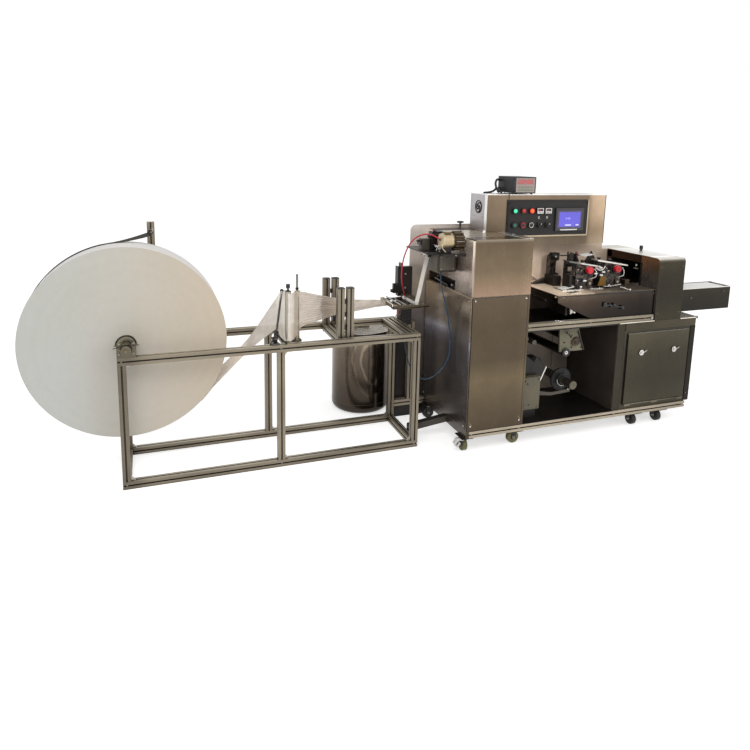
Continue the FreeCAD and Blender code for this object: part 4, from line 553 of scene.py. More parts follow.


# Painted light, shade and reflections: each steel's front, left, right and top tones follow the way its faces
# look, and across levels brighten or darken it along an axis
NODE_FINISH = {
    "unwind_long_rails": PROFILE,
    "unwind_posts": PROFILE,
    "unwind_cross_rails": PROFILE,
    "guide_stand_posts": PROFILE,
    "base_long_rails": BASE_PROFILE,
    "base_cross_rails": BASE_PROFILE,
    "upper_rail": PROFILE,
    "brake_post": PROFILE,
    "frame_tie": metal("dark_tie", tone(66, 62, 58), 0.45, "x", 0.3),
    "nonwoven_roll": wound_cloth(),
    "roll_core": CARD,
    "roll_shaft": metal("shaft_steel", tone(112, 106, 92), 0.34, "y", 0.3),
    "roll_bearings": metal("bearing_olive", tone(104, 98, 84), 0.4, "x", 0.3, tone(150, 142, 122)),
    "turn_bars": metal("bar_steel", tone(88, 84, 80), 0.3, "z", 0.25),
    "turn_bar_knobs": BLACK_PLASTIC,
    "stand_caps": painted("cap_black", tone(38, 36, 36), 0.45, 0.3),
    "liquid_drum": drum_steel(),
    "drum_lid": steel("lid_metal", "drum_lid", DRUM_FRONT, DRUM_FRONT, top=tone(150, 138, 120),
                      lines="x", roughness=0.2, cloud=0.4),
    "pump_box": painted("pump_black", tone(26, 24, 24), 0.35, 0.35, 0.4),
    "rear_plate": steel("rear_plate_steel", "rear_plate", PLATE_FRONT, PLATE_FRONT, cloud=0.12,
                        metallic=0.35),
    "column_housing": steel("column_steel", "column_housing", COLUMN_FRONT, COLUMN_LEFT,
                            tone(38, 34, 30), roughness=0.26),
    "column_cover": steel("cover_steel", "column_cover", COVER_FRONT, COVER_LEFT, tone(120, 106, 88),
                          tone(172, 160, 140), roughness=0.24),
    # Painted light: the box brighter at its right end
    "control_box": steel("box_steel", "control_box", BOX_FRONT, BOX_LEFT, tone(70, 62, 54),
                         roughness=0.34, across=("X", [(0.0, 1), (0.84, 1), (0.88, 2.1), (1.0, 2.5)])),
    "control_panel": painted("panel_grey", tone(23, 20, 18), 0.65, 0.12),
    "panel_buttons": BLACK_PLASTIC,
    "counter_box": painted("counter_black", tone(20, 19, 23), 0.5, 0.15),
    "rear_housing": steel("wall_steel", "rear_housing", WALL_FRONT, BOX_LEFT, tone(110, 98, 82),
                          roughness=0.32, cloud=0.14, metallic=0.2),
    # Painted light on the table's left end, painted shade towards its right
    "work_table": steel("table_steel", "work_table", TABLE_FRONT, TABLE_FRONT, top=tone(244, 220, 194),
                        lines="x", roughness=0.3, cloud=0.2, metallic=0.3,
                        across=("X", [(0.0, 1.1), (0.28, 1.1), (0.42, 0.4), (0.7, 0.2), (1.0, 0.16)])),
    # Painted shade: the apron darker towards its right
    "table_apron": steel("apron_steel", "table_apron", TABLE_FRONT, TABLE_FRONT, lines="x",
                         roughness=0.16, cloud=0.22,
                         across=("X", [(0.0, 0.86), (0.4, 0.68), (0.82, 0.34), (0.84, 0.25), (1.0, 0.33)])),
    "discharge_hood": steel("hood_steel", "discharge_hood", HOOD_FRONT, HOOD_LEFT, tone(140, 132, 112),
                            tone(240, 236, 226), roughness=0.26),
    "conveyor_frame": steel("conveyor_steel", "conveyor_frame", CONVEYOR_FRONT, DARK_LEFT,
                            tone(90, 84, 72), lines="x", roughness=0.28),
    "conveyor_belt": BELT,
    "conveyor_rollers": metal("conveyor_roller_steel", tone(150, 148, 144), 0.3, "y"),
    "right_cabinet": steel("cabinet_steel", "right_cabinet", DARK_FRONT,
                           tones((0.0, 30, 27, 24), (1.0, 26, 24, 22)),
                           tone(58, 54, 44), roughness=0.3),
    "cabinet_door": steel("door_steel", "cabinet_door", DARK_FRONT, DARK_FRONT, roughness=0.26),
    "door_latches": BRIGHT,
    "deck_plates": PAINTED_DEEP_SHADE,
    "spindle_shaft": metal("spindle_steel", tone(98, 93, 86), 0.24, "y", 0.3),
    "spindle_flange": painted("flange_black", tone(12, 10, 10), 0.6, 0.3),
    "spindle_bearing": painted("bearing_black", tone(32, 30, 29), 0.4, 0.3, 0.4),
    "bay_box": BAY_GREY,
    "guide_bracket": BRACKET_PAINT,
    "guide_rollers": metal("guide_dark", tone(58, 54, 50), 0.35, "y", 0.3),
    "sealing_frames": cluttered("sealing_black",
                                tones((0.36, 22, 22, 25), (0.48, 42, 39, 40), (0.56, 98, 88, 76),
                                      (0.6, 34, 33, 34), (0.7, 62, 60, 62))),
    # Painted shade: the rollers darker at their left end
    "sealing_rollers": steel("sealing_bright", "sealing_rollers", SEAL_TONES, SEAL_TONES, SEAL_TONES[0][1],
                             roughness=0.24, across=("X", [(0.0, 0.2), (0.17, 0.25), (0.22, 1), (1.0, 1)])),
    "sealing_knobs": RED_PLASTIC,
    "fold_arms": metal("fold_arm_metal", tone(80, 74, 60), 0.38, "x", 0.3, tone(128, 120, 102)),
    "fold_rollers": BRIGHT,
    "fold_shelf": BLACK_STEEL,
    "fold_motor": MOTOR_TAN,
    "fold_wheel": DARK_BRASS,
    "fold_gearbox": steel("gearbox_grey", "fold_gearbox", tones((0.0, 55, 50, 41), (1.0, 52, 46, 38)),
                          tones((0.0, 90, 84, 66), (1.0, 98, 92, 72)), metallic=0.3,
                          roughness=0.42, cloud=0.1),
    "fold_brackets": BLACK_STEEL,
    "caster_wheels": RUBBER,
    "caster_forks": painted("fork_black", tone(46, 43, 40), 0.4, 0.3, 0.4),
}

for node, finish in NODE_FINISH.items():
    nodes[node].data.materials.clear()
    nodes[node].data.materials.append(finish)
red_hose.data.materials.append(RED_PVC)
blue_hose.data.materials.append(BLUE_PVC)


def repaint(node, finish, low, high, facing=None):
    """Gives another finish to the faces of a node whose middles lie between two corners of the layout,
    and, where facing names a direction, only to those that face it."""
    mesh = nodes[node].data
    if finish.name not in mesh.materials:
        mesh.materials.append(finish)
    index = mesh.materials.find(finish.name)
    first = spot(*low)
    last = spot(*high)
    for face in mesh.polygons:
        inside = all(first[axis] <= face.center[axis] <= last[axis] for axis in range(3))
        if inside and (facing is None or face.normal.dot(Vector(facing)) > 0.7):
            face.material_index = index


FAR = 5000
repaint("counter_box", COUNTER_FACE, (0, 0, 1508), (FAR, 174.5, 1604), FRONT)
# Painted shade: the hood's dark opening, the film bay's back wall and its dark right side
repaint("discharge_hood", PAINTED_DEEP_SHADE, (3195, -19, 900), (3400, 252, 1066))
repaint("rear_housing", BAY_WALL, (0, 0, 0), (FAR, 305, 760), FRONT)
repaint("right_cabinet", SHADED_BAY_SIDE, (2900, -200, 0), (2930, 500, 760), LEFT)
repaint("guide_bracket", BAY_PLATE, (2250, -90, 403), (2401, -70, 600))
# Painted shade: the bay box's faces deep in the bay made dark, and the bracket's low faces dim
repaint("bay_box", BAY_PLATE, (2402, -200, 100), (FAR, 200, 404))
repaint("guide_bracket", BAY_ARM, (2399, -60, 100), (FAR, 200, 403))
repaint("roll_bearings", BLACK_STEEL, (-100, -10, 768), (200, 500, 900))
repaint("caster_wheels", SMALL_TYRE, (3000, -500, 0), (FAR, 900, 100))
repaint("caster_wheels", SMALL_TYRE, (1000, 200, 0), (FAR, 900, 100))
repaint("fold_shelf", GREY_PAINT, (1670, 105, 1177), (1728, 155, 1250))
# Painted shade: the bay box's lowest faces made dark
repaint("bay_box", PAINTED_DEEP_SHADE, (2250, -200, 100), (2401, 200, 196))
repaint("turn_bars", ROLLER_STEEL, (846, 40, 700), (890, 90, 990))

# Edges: every sheet and casting has its corners eased a little, which catches the light.
EASED = {
    1.6: ("column_cover", "column_housing", "control_box", "rear_housing", "discharge_hood", "right_cabinet",
          "cabinet_door", "work_table", "table_apron", "counter_box", "fold_gearbox", "bay_box", "pump_box",
          "rear_plate", "roll_bearings", "fold_brackets"),
    0.8: ("unwind_long_rails", "unwind_posts", "unwind_cross_rails", "guide_stand_posts", "base_long_rails",
          "base_cross_rails", "upper_rail", "brake_post", "control_panel", "panel_buttons", "stand_caps",
          "fold_arms", "fold_shelf", "guide_bracket", "sealing_frames", "sealing_rollers", "sealing_knobs",
          "conveyor_frame", "caster_forks", "deck_plates", "frame_tie", "fold_motor", "door_latches",
          "spindle_shaft", "spindle_flange", "guide_rollers", "roll_core", "roll_shaft", "turn_bar_knobs"),
    3.0: ("caster_wheels", "nonwoven_roll", "drum_lid"),
}


# Vertices nearer than this are one, in metres, and edges sharper than this are eased, in degrees
WELD_DISTANCE = 0.00002
SHARP_EDGE = 38


def ease(piece, width):
    """Rounds a piece's sharp edges by a modifier, and keeps its flat faces flat."""
    weld = piece.modifiers.new("weld", "WELD")
    weld.merge_threshold = WELD_DISTANCE
    bevel = piece.modifiers.new("bevel", "BEVEL")
    bevel.width = width * MM
    bevel.segments = 2
    bevel.limit_method = "ANGLE"
    bevel.angle_limit = math.radians(SHARP_EDGE)
    bevel.use_clamp_overlap = True
    even = piece.modifiers.new("even", "WEIGHTED_NORMAL")
    even.keep_sharp = False


for width, names in EASED.items():
    for name in names:
        ease(nodes[name], width)


# Fine pieces
def skin(mesh, rows, closed=False, smooth=False):
    """Faces between neighbouring rows of vertices, round to the first again where the rows are closed."""
    count = len(rows[0])
    for first, second in zip(rows, rows[1:]):
        for number in range(count if closed else count - 1):
            following = (number + 1) % count
            face = mesh.faces.new((first[number], first[following], second[following], second[number]))
            face.smooth = smooth


def place_mesh(name, mesh, finishes, body="machine"):
    """Turns a gathered mesh into an object that rides on a body."""
    data = bpy.data.meshes.new(name)
    mesh.to_mesh(data)
    mesh.free()
    for finish in finishes:
        data.materials.append(finish)
    piece = bpy.data.objects.new(name, data)
    bpy.context.scene.collection.objects.link(piece)
    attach(piece, body)
    return piece


# How far the ridges of a thread lie apart
THREAD_PITCH = 2.6


class Kit:
    """Fine pieces that ride on one body, gathered in one mesh with a finish for each. All places and
    sizes are in the layout's millimetres."""

    def __init__(self, name, body="machine", slot="machined_steel"):
        self.name = name
        self.body = body
        self.slot = slot
        self.mesh = bmesh.new()
        self.finishes = []

    def take(self, part, finish, smooth=True):
        if finish not in self.finishes:
            self.finishes.append(finish)
        for face in part.faces:
            face.material_index = self.finishes.index(finish)
            face.smooth = smooth
        scrap = bpy.data.meshes.new("scrap")
        part.to_mesh(scrap)
        part.free()
        self.mesh.from_mesh(scrap)
        bpy.data.meshes.remove(scrap)

    def block(self, low, high, finish, edge=1.0, turn=None, about=None):
        """A block between two corners, its edges rounded, turned about a point if asked."""
        low = Vector(low)
        high = Vector(high)
        part = bmesh.new()
        bmesh.ops.create_cube(part, size=1)
        for vertex in part.verts:
            vertex.co = Vector((vertex.co[axis] * (high[axis] - low[axis]) for axis in range(3)))
        edge = min(edge, 0.3 * min(high - low))
        bmesh.ops.bevel(part, geom=part.edges[:], offset=edge, segments=2, profile=0.6, affect="EDGES")
        middle = (low + high) / 2
        for vertex in part.verts:
            vertex.co += middle
            if turn:
                pivot = Vector(about) if about else middle
                vertex.co = pivot + turn @ (vertex.co - pivot)
            vertex.co = spot(*vertex.co)
        self.take(part, finish, False)

    def turned(self, start, end, stations, finish, sides=28):
        """A turned piece on the line from start to end. stations are (distance from start, radius)."""
        start = Vector(start)
        axis = (Vector(end) - start).normalized()
        side = axis.orthogonal().normalized()
        other = axis.cross(side)
        part = bmesh.new()
        rings = []
        for distance, radius in stations:
            ring = []
            for number in range(sides):
                angle = 2 * math.pi * number / sides
                out = side * math.cos(angle) + other * math.sin(angle)
                ring.append(part.verts.new(spot(*(start + axis * distance + out * radius))))
            rings.append(ring)
        skin(part, rings, closed=True)
        part.faces.new(list(reversed(rings[0])))
        part.faces.new(rings[-1])
        bmesh.ops.recalc_face_normals(part, faces=part.faces)
        self.take(part, finish)

    def rod(self, start, end, diameter, finish, edge=0.8, sides=20):
        """A round rod with chamfered ends."""
        length = (Vector(end) - Vector(start)).length
        radius = diameter / 2
        edge = min(edge, radius * 0.4, length * 0.3)
        self.turned(start, end, [(0, radius - edge), (edge * 0.3, radius - edge * 0.3), (edge, radius),
                                 (length - edge, radius), (length - edge * 0.3, radius - edge * 0.3),
                                 (length, radius - edge)], finish, sides)

    def bolt(self, place, way, size, finish=BOLT, head=0.5):
        """A cap screw with its hexagon socket: place is on the surface, way points off it."""
        place = Vector(place)
        way = Vector(way).normalized()
        tall = size * head
        self.turned(place - way, place + way, [(0, size * 0.4), (1, size / 2), (tall * 0.7, size / 2),
                                               (tall + 0.6, size * 0.42), (tall + 1, size * 0.3),
                                               (tall * 0.45, size * 0.24), (tall * 0.4, size * 0.05)],
                    finish, 18)

    def bolts(self, places, way, size, finish=BOLT, head=0.5):
        """The same cap screw at each place."""
        for place in places:
            self.bolt(place, way, size, finish, head)

    def nut(self, place, way, size, finish):
        """A hexagon nut on a washer, with the bolt's end through it."""
        place = Vector(place)
        way = Vector(way).normalized()
        self.turned(place, place + way, [(0, size * 0.68), (size * 0.1, size * 0.68)], finish, 20)
        self.turned(place + way * size * 0.1, place + way, [(0, size * 0.5), (size * 0.4, size * 0.5),
                                                            (size * 0.45, size * 0.42)], finish, 6)
        self.turned(place, place + way, [(0, size * 0.27), (size * 0.7, size * 0.27),
                                         (size * 0.75, size * 0.2)], finish, 14)

    def thread(self, foot, count, ridge, finish, sides):
        """The ridges of a thread, one over the other."""
        for number in range(count):
            place = Vector(foot) + Vector((0, 0, number * THREAD_PITCH))
            self.turned(place, place + Vector(UP), ridge, finish, sides)

    def ball(self, place, diameter, finish, squeeze=(1, 1, 1)):
        """A ball, or an egg where each axis is squeezed by its own factor."""
        part = bmesh.new()
        bmesh.ops.create_uvsphere(part, u_segments=24, v_segments=14, radius=diameter / 2)
        for vertex in part.verts:
            vertex.co = spot(*(Vector(place) + Vector(vertex.co[axis] * squeeze[axis] for axis in range(3))))
        self.take(part, finish)

    def sweep(self, path, section, finish, across=UP, closed=False):
        """A section of (sideways, outward) points carried along a path. across fixes its sideways way,
        one for the whole path or one for each place."""
        path = [Vector(place) for place in path]
        ways = across if isinstance(across, list) else [Vector(across)] * len(path)
        part = bmesh.new()
        rings = []
        for number, place in enumerate(path):
            if closed:
                way = path[(number + 1) % len(path)] - path[number - 1]
            else:
                way = path[min(number + 1, len(path) - 1)] - path[max(number - 1, 0)]
            way.normalize()
            out = way.cross(ways[number].normalized())
            if out.length < 0.05:
                out = way.orthogonal()
            out.normalize()
            side = out.cross(way).normalized()
            rings.append([part.verts.new(spot(*(place + side * u + out * v))) for u, v in section])
        skin(part, rings + [rings[0]] if closed else rings, closed=True)
        if not closed:
            part.faces.new(list(reversed(rings[0])))
            part.faces.new(rings[-1])
        bmesh.ops.recalc_face_normals(part, faces=part.faces)
        self.take(part, finish)

    def wire(self, path, diameter, finish, across=UP, sides=10, closed=False):
        """A round wire or bent rod along a path."""
        ring = [(diameter / 2 * math.cos(2 * math.pi * number / sides),
                 diameter / 2 * math.sin(2 * math.pi * number / sides)) for number in range(sides)]
        self.sweep(path, ring, finish, across, closed)

    def hoop(self, centre, way, radius, wire, finish, start=0, end=360, steps=40):
        """A ring of round wire about a line, or the part of it between two angles."""
        centre = Vector(centre)
        way = Vector(way).normalized()
        side = way.orthogonal().normalized()
        other = way.cross(side)
        closed = end - start >= 360
        count = steps if closed else steps + 1
        path = []
        for number in range(count):
            angle = math.radians(start + (end - start) * number / steps)
            path.append(centre + (side * math.cos(angle) + other * math.sin(angle)) * radius)
        self.wire(path, wire, finish, way, 10, closed)

    def slab(self, corners, thickness, finish, edge=0.8):
        """A flat plate: its corners in order, and the vector through its thickness."""
        through = Vector(thickness)
        part = bmesh.new()
        near = [part.verts.new(Vector(corner)) for corner in corners]
        far = [part.verts.new(Vector(corner) + through) for corner in corners]
        part.faces.new(near)
        part.faces.new(list(reversed(far)))
        count = len(near)
        for number in range(count):
            following = (number + 1) % count
            part.faces.new((near[following], near[number], far[number], far[following]))
        bmesh.ops.recalc_face_normals(part, faces=part.faces)
        edge = min(edge, through.length * 0.3)
        bmesh.ops.bevel(part, geom=part.edges[:], offset=edge, segments=2, profile=0.6, affect="EDGES")
        for vertex in part.verts:
            vertex.co = spot(*vertex.co)
        self.take(part, finish, False)

    def frame(self, low, high, width, finish, edge=0.8):
        """A flat rim round an opening in a face that looks along y. low and high are its outer corners."""
        (x0, y0, z0), (x1, y1, z1) = low, high
        self.block((x0, y0, z0), (x1, y1, z0 + width), finish, edge)
        self.block((x0, y0, z1 - width), (x1, y1, z1), finish, edge)
        self.block((x0, y0, z0 + width), (x0 + width, y1, z1 - width), finish, edge)
        self.block((x1 - width, y0, z0 + width), (x1, y1, z1 - width), finish, edge)

    def digits(self, text, corner, height, finish, pitch=None, depth=0.6):
        """Seven-bar digits on a face that looks towards -y. corner is the first one's lower left."""
        bars = {"0": "abcdef", "1": "bc", "2": "abged", "3": "abgcd", "4": "fgbc", "5": "afgcd",
                "6": "afgedc", "7": "abc", "8": "abcdefg", "9": "abcdfg"}
        wide = height * 0.5
        line = height * 0.12
        pitch = pitch or wide * 1.5
        x0, y0, z0 = corner
        for number, digit in enumerate(text):
            x = x0 + number * pitch
            half = height / 2
            spots = {"a": (0, height - line, wide, height), "g": (0, half - line / 2, wide, half + line / 2),
                     "d": (0, 0, wide, line), "f": (0, half, line, height), "e": (0, 0, line, half),
                     "b": (wide - line, half, wide, height), "c": (wide - line, 0, wide, half)}
            for bar in bars[digit]:
                u0, w0, u1, w1 = spots[bar]
                self.block((x + u0, y0 - depth, z0 + w0), (x + u1, y0, z0 + w1), finish, 0.2)

    def done(self):
        """Turns what was gathered into an object that rides on its body."""
        piece = place_mesh(self.name, self.mesh, self.finishes, self.body)
        return piece


def along(start, end, share):
    """The point at a share of the way from start to end."""
    return Vector(start).lerp(Vector(end), share)


def smooth_path(points, steps=6):
    """A smooth line through the points."""
    points = [Vector(place) for place in points]
    ends = [points[0] * 2 - points[1]] + points + [points[-1] * 2 - points[-2]]
    path = []
    for number in range(1, len(ends) - 2):
        p0, p1, p2, p3 = ends[number - 1:number + 3]
        for step in range(steps):
            t = step / steps
            path.append(0.5 * (2 * p1 + (p2 - p0) * t + (2 * p0 - 5 * p1 + 4 * p2 - p3) * t * t
                               + (3 * p1 - p0 - 3 * p2 + p3) * t ** 3))
    path.append(points[-1])
    return path


# The web: one flat strip that is twisted upright over the bars and gathered in pleats as it narrows
WEB_WIDTH = 220
ROLL_AXIS = Vector((45, 215, 742))
SLANT_FOOT = Vector((790, 24, 700))
SLANT_WAY = Vector((96, 296, 222))
PLEATS = 13
WEB_COLUMNS = 183
WEB_STEP = 16
# The pleats reach their full depth once the web is this far off the roll, and lie flatter by the bars
CLEAR_OF_ROLL = 12
BARS_X = 880
BARS_REACH = 60
FLAT_BY_BARS = 0.6
# How far the web stands off the roll's wound cloth and hangs through on its way to the slanted bar
WEB_OFF_ROLL = 2
WEB_SAG = 110
# Between the roll and the slanted bar the web draws in: share of the way, share of the turn, width
DRAWN_IN = [(0.15, 0.1, 190), (0.3, 0.22, 152), (0.45, 0.36, 120), (0.55, 0.46, 108), (0.62, 0.54, 110),
            (0.72, 0.67, 146)]


def web_stations():
    """The web's cross-sections on its way: middle, direction across, width and what it swings out by."""
    share = (ROLL_AXIS.y - SLANT_FOOT.y) / SLANT_WAY.y
    bar = SLANT_FOOT + SLANT_WAY * share
    touching = bar - Vector((8, 0, 0))
    away = touching - ROLL_AXIS
    radius = ROLL_RADIUS + WEB_OFF_ROLL
    angle = math.atan2(away.z, away.x) - math.acos(radius / math.hypot(away.x, away.z))
    leaving = ROLL_AXIS + Vector((math.cos(angle), 0, math.sin(angle))) * radius
    bar_way = SLANT_WAY.normalized()
    slanted = WEB_WIDTH / bar_way.y
    upright = Vector(UP)
    return [
        (leaving, Vector(BACK), WEB_WIDTH),
        *((leaving.lerp(touching, share) - Vector((0, 0, WEB_SAG * share ** 2 * (1 - share))),
           Vector(BACK).lerp(bar_way, turned), width) for share, turned, width in DRAWN_IN),
        (touching, bar_way, slanted),
        (bar + Vector((-1, -4, 8)), bar_way, slanted),
        (bar + Vector((7, -2, 1)), bar_way, slanted),
        (Vector((858, 118, 838)), bar_way.lerp(upright, 0.55), 284),
        (Vector((866, 46, 836)), upright, 272),
        (Vector((880, 47, 836)), upright, 268),
        (Vector((902, 52, 846)), upright, 262),
        (Vector((916, 50, 856)), upright, 244),
        (Vector((932, 55, 874)), upright, 210),
        (Vector((962, 72, 876)), upright, 190),
        (Vector((1040, 118, 864)), upright, 158),
        (Vector((1168, 205, 846)), upright, 104),
        (Vector((1310, 214, 841)), upright, 70),
        (Vector((1430, 203, 848)), upright, 46),
        (Vector((1500, 200, 846)), upright, 34),
    ]


def make_web():
    """Builds the strip, pleated so that its full width is kept wherever it shows narrower."""
    stations = web_stations()
    mesh = bmesh.new()
    rows = []
    travelled = 0
    for number, (middle, across, width) in enumerate(stations):
        following = stations[min(number + 1, len(stations) - 1)]
        steps = 1 if number == len(stations) - 1 else max(2, round((following[0] - middle).length / WEB_STEP))
        for step in range(steps):
            share = step / steps
            place = middle.lerp(following[0], share)
            side = across.lerp(following[1], share).normalized()
            shown = width + (following[2] - width) * share
            way = (following[0] - middle).normalized() if steps > 1 else way
            out = way.cross(side).normalized()
            travelled += (following[0] - middle).length / steps
            excess = max(WEB_WIDTH / shown, 1.0) - 1
            depth = shown / PLEATS * (0.17 * math.sqrt(excess) + 0.2 * excess)
            ripple = 0.5 + 1.2 * min(excess, 0.3)
            row = []
            for column in range(WEB_COLUMNS):
                u = column / (WEB_COLUMNS - 1)
                phase = 2 * math.pi * PLEATS * (u + 0.012 * math.sin(17 * u + travelled / 160))
                fold = depth * math.sin(phase) * (1.0 + 0.25 * math.sin(5.3 * u + 1))
                fold += ripple * math.sin(2 * math.pi * 2.5 * u + travelled / 55)
                sag = 2.5 * math.sin(travelled / 90 + 3 * u)
                by_bars = FLAT_BY_BARS + max(0, abs(place.x - BARS_X) - BARS_REACH) / 300
                held = min(1, by_bars, ((place - ROLL_AXIS).length - ROLL_RADIUS) / CLEAR_OF_ROLL)
                offset = side * ((u - 0.5) * shown) + out * (fold + sag) * held
                row.append(mesh.verts.new(spot(*(place + offset))))
            rows.append(row)
    skin(mesh, rows, smooth=True)
    web = place_mesh("web_strip", mesh, [CLOTH])
    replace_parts(web, "nonwoven_web")
    print("web strip", round(travelled * MM, 3), "m long")


def make_folded_strip():
    """The web after the folder: nine layers, one over the other, drawn up to the upper roller."""
    layers = 9
    width = 24.4
    gap = 0.55
    waver = 0.8
    start = Vector((1652, 106, 861))
    end = Vector((1712, 106, 1138))
    way = (end - start).normalized()
    side = Vector(BACK).cross(way).normalized()
    mesh = bmesh.new()
    rows = []
    count = 24
    for number in range(count + 1):
        share = number / count
        place = start.lerp(end, share)
        row = []
        for layer in range(layers):
            out = (layer - (layers - 1) / 2) * gap
            ends = (-1, 1) if layer % 2 == 0 else (1, -1)
            for sign in ends:
                trim = width / 2 - (layer % 3) * 0.5
                row.append(mesh.verts.new(spot(*(place + side * sign * trim + Vector((0, out, 0))
                                                 + side * waver * math.sin(share * 7)))))
        rows.append(row)
    skin(mesh, rows)
    strip = place_mesh("folded_cloth", mesh, [PALE_CLOTH])
    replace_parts(strip, "folded_strip")


def make_strap():
    """The brake strap: a woven band over the roll, from the eye on the tall post to the eye low behind."""
    off_roll = 3
    radius = ROLL_RADIUS + off_roll
    middle_y = 271
    most_twist = math.radians(62)
    sag = 26
    upper = Vector((182, middle_y, 1286))
    lower = Vector((20, middle_y, 206))

    def tangent(place, sign):
        away = place - ROLL_AXIS
        return math.atan2(away.z, away.x) + sign * math.acos(radius / math.hypot(away.x, away.z))

    start = tangent(upper, 1)
    end = tangent(lower, -1) + 2 * math.pi
    first = Vector((ROLL_AXIS.x + radius * math.cos(start), middle_y, ROLL_AXIS.z + radius * math.sin(start)))
    path = []
    across = []
    free = 16
    for number in range(free):
        share = number / free
        twist = most_twist * (1 - share) ** 1.5
        path.append(upper.lerp(first, share) - Vector((0, 0, sag * share * (1 - share))))
        across.append(Vector((-0.3 * math.sin(twist), math.cos(twist), math.sin(twist))))
    steps = 90
    for number in range(steps + 1):
        angle = start + (end - start) * number / steps
        path.append(Vector((ROLL_AXIS.x + radius * math.cos(angle), middle_y,
                            ROLL_AXIS.z + radius * math.sin(angle))))
    path.append(lower)
    across += [Vector(BACK)] * (len(path) - free)
    kit = Kit("brake_band", slot="strap")
    half = 12
    section = [(-half, -1), (-half + 2, -2), (half - 2, -2), (half, -1),
               (half, 1), (half - 2, 2), (-half + 2, 2), (-half, 1)]
    finish = Finish("webbing")
    ribs = finish.noise(900, stretch=(1, 0.1, 1), detail=2)
    finish.set(Base_Color=finish.ramp(ribs, tones((0.3, 38, 36, 34), (0.7, 86, 82, 76))),
               Roughness=finish.level(ribs, 0.7, 0.95))
    finish.bump(ribs, 0.4, 0.0006)
    kit.sweep(path, section, finish.material, across)
    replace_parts(kit.done(), "brake_strap")


make_web()
make_folded_strip()
make_strap()


# Unwind frame
def frame_fittings():
    """The profiles' end bores, the bolts through the posts, and small clamps and corner plates."""
    kit = Kit("frame_fittings")
    profile = 40
    ends = []
    for y in (0, 390):
        for z in (0, 660):
            ends += [((0, y, z), LEFT), ((1640, y, z), RIGHT)]
    for corner, way in ends:
        middle = Vector(corner) + Vector((0, profile / 2, profile / 2))
        kit.rod(middle - Vector(way) * 2, middle + Vector(way) * 0.4, 8, BLACK_STEEL, 0.2)
    for x in (0, 800, 1600):
        for y, way in ((0, -1), (390, 1)):
            face = y if way < 0 else y + profile
            kit.bolts([(x + 20, face - way * 9, z) for z in (20, 680)], (0, way, 0), 10)
    for x in (850, 900, 1148, 1204, 1545, 1600):
        for y in (44, 384):
            kit.block((x + 6, y - 2, 646), (x + 34, y + 4, 659), OLIVE_METAL, 1)
            kit.bolt((x + 20, y + (4 if y < 200 else -2), 652), (0, 1 if y < 200 else -1, 0), 7, BLACK_STEEL)
    for x, y in ((0, 0), (0, 390), (1600, 0), (1600, 390), (800, 0), (800, 390)):
        inward = 1 if x < 1600 else -1
        base = x + (40 if inward > 0 else 0)
        for z, rise in ((40, 1), (660, -1)):
            kit.slab([(base, y + 13, z), (base + inward * 22, y + 13, z), (base, y + 13, z + rise * 22)],
                     (0, 14, 0), BOLT, 0.8)
    kit.done()


def roll_fittings():
    """What turns with the roll: the shaft's chuck with its jaws, and the air valve in its end."""
    kit = Kit("roll_chuck", "roll")
    x, _, z = ROLL_AXIS
    for y, way in ((80, -1), (350, 1)):
        kit.turned((x, y, z), (x, y + way, z), [(0, 45), (4, 45), (5, 43), (5, 26), (0.5, 26)],
                   CARD, 48)
        for number in range(3):
            angle = math.radians(30 + 120 * number)
            out = Vector((math.cos(angle), 0, math.sin(angle)))
            kit.rod(Vector((x, y + way * 3, z)) + out * 24, Vector((x, y + way * 9, z)) + out * 24,
                    14, RUBBER, 1)
    kit.turned((x, -25.6, z), (x, -27, z), [(0, 22), (0.8, 22), (1.6, 20), (1.6, 8), (0, 7.5)], OLD_STEEL, 32)
    kit.rod((x, -25.6, z), (x, -30, z), 6, YELLOW_BRASS, 0.6)
    kit.done()


def bearing_fittings():
    """Bolts, bosses and the bent wires on the two saddle bearings."""
    kit = Kit("bearing_fittings")
    x, _, z = ROLL_AXIS
    for y in (0, 390):
        kit.bolts([(x + reach, y + 20, 764) for reach in (-34, 34)], UP, 12, head=0.6)
        kit.bolts([(x + reach, y - 0.2, 722) for reach in (-34, 34)], FRONT, 10)
        kit.turned((x, y - 0.2, z), (x, y - 2, z), [(0, 31), (2.4, 31), (3.2, 30), (3.2, 27), (0, 26.4)],
                   OLD_STEEL, 40)
        kit.wire([(x - 60, y - 3, 752), (x - 44, y - 3, 758), (x + 10, y - 3, 764), (x + 62, y - 3, 764)], 4,
                 BLACK_STEEL, BACK)
        kit.wire([(x + 8, y - 4, 764), (x + 36, y - 4, 790)], 4, BLACK_STEEL, BACK)
        kit.wire([(x - 44, y - 4, 752), (x - 20, y - 4, 736), (x + 4, y - 4, 722)], 4, OLIVE_METAL, BACK)
    kit.wire(smooth_path([(x - 48, 20, 764), (x - 30, 12, 752), (x - 14, 2, 744), (x - 6, -6, 730)]), 4,
             BLACK_STEEL)
    kit.done()


def strap_fittings():
    """The strap's two eyes and the knot of wire on the upper one."""
    kit = Kit("strap_fittings", slot="dark_steel")
    for x, y, z in ((182, 271, 1292), (20, 271, 200)):
        kit.hoop((x, y, z), BACK, 8.6, 5, BLACK_STEEL)
        kit.block((x - 11, y - 11, z - 9), (x - 2, y + 11, z - 3), BLACK_STEEL, 1.4)
        kit.bolt((x, y + 15, z), FRONT, 14, BOLT, 0.4)
    x, y, z = 182, 271, 1292
    kit.wire(smooth_path([(x - 8, y - 9, z - 2), (x - 13, y - 14, z + 7), (x - 3, y - 15, z + 14),
                          (x + 7, y - 12, z + 7), (x + 2, y - 13, z - 6), (x - 9, y - 13, z - 10)]), 5,
             BLACK_STEEL)
    kit.wire(smooth_path([(x + 2, y - 13, z - 2), (x + 10, y - 14, z + 18), (x + 4, y - 11, z + 26)]), 3.5,
             BOLT)
    kit.done()


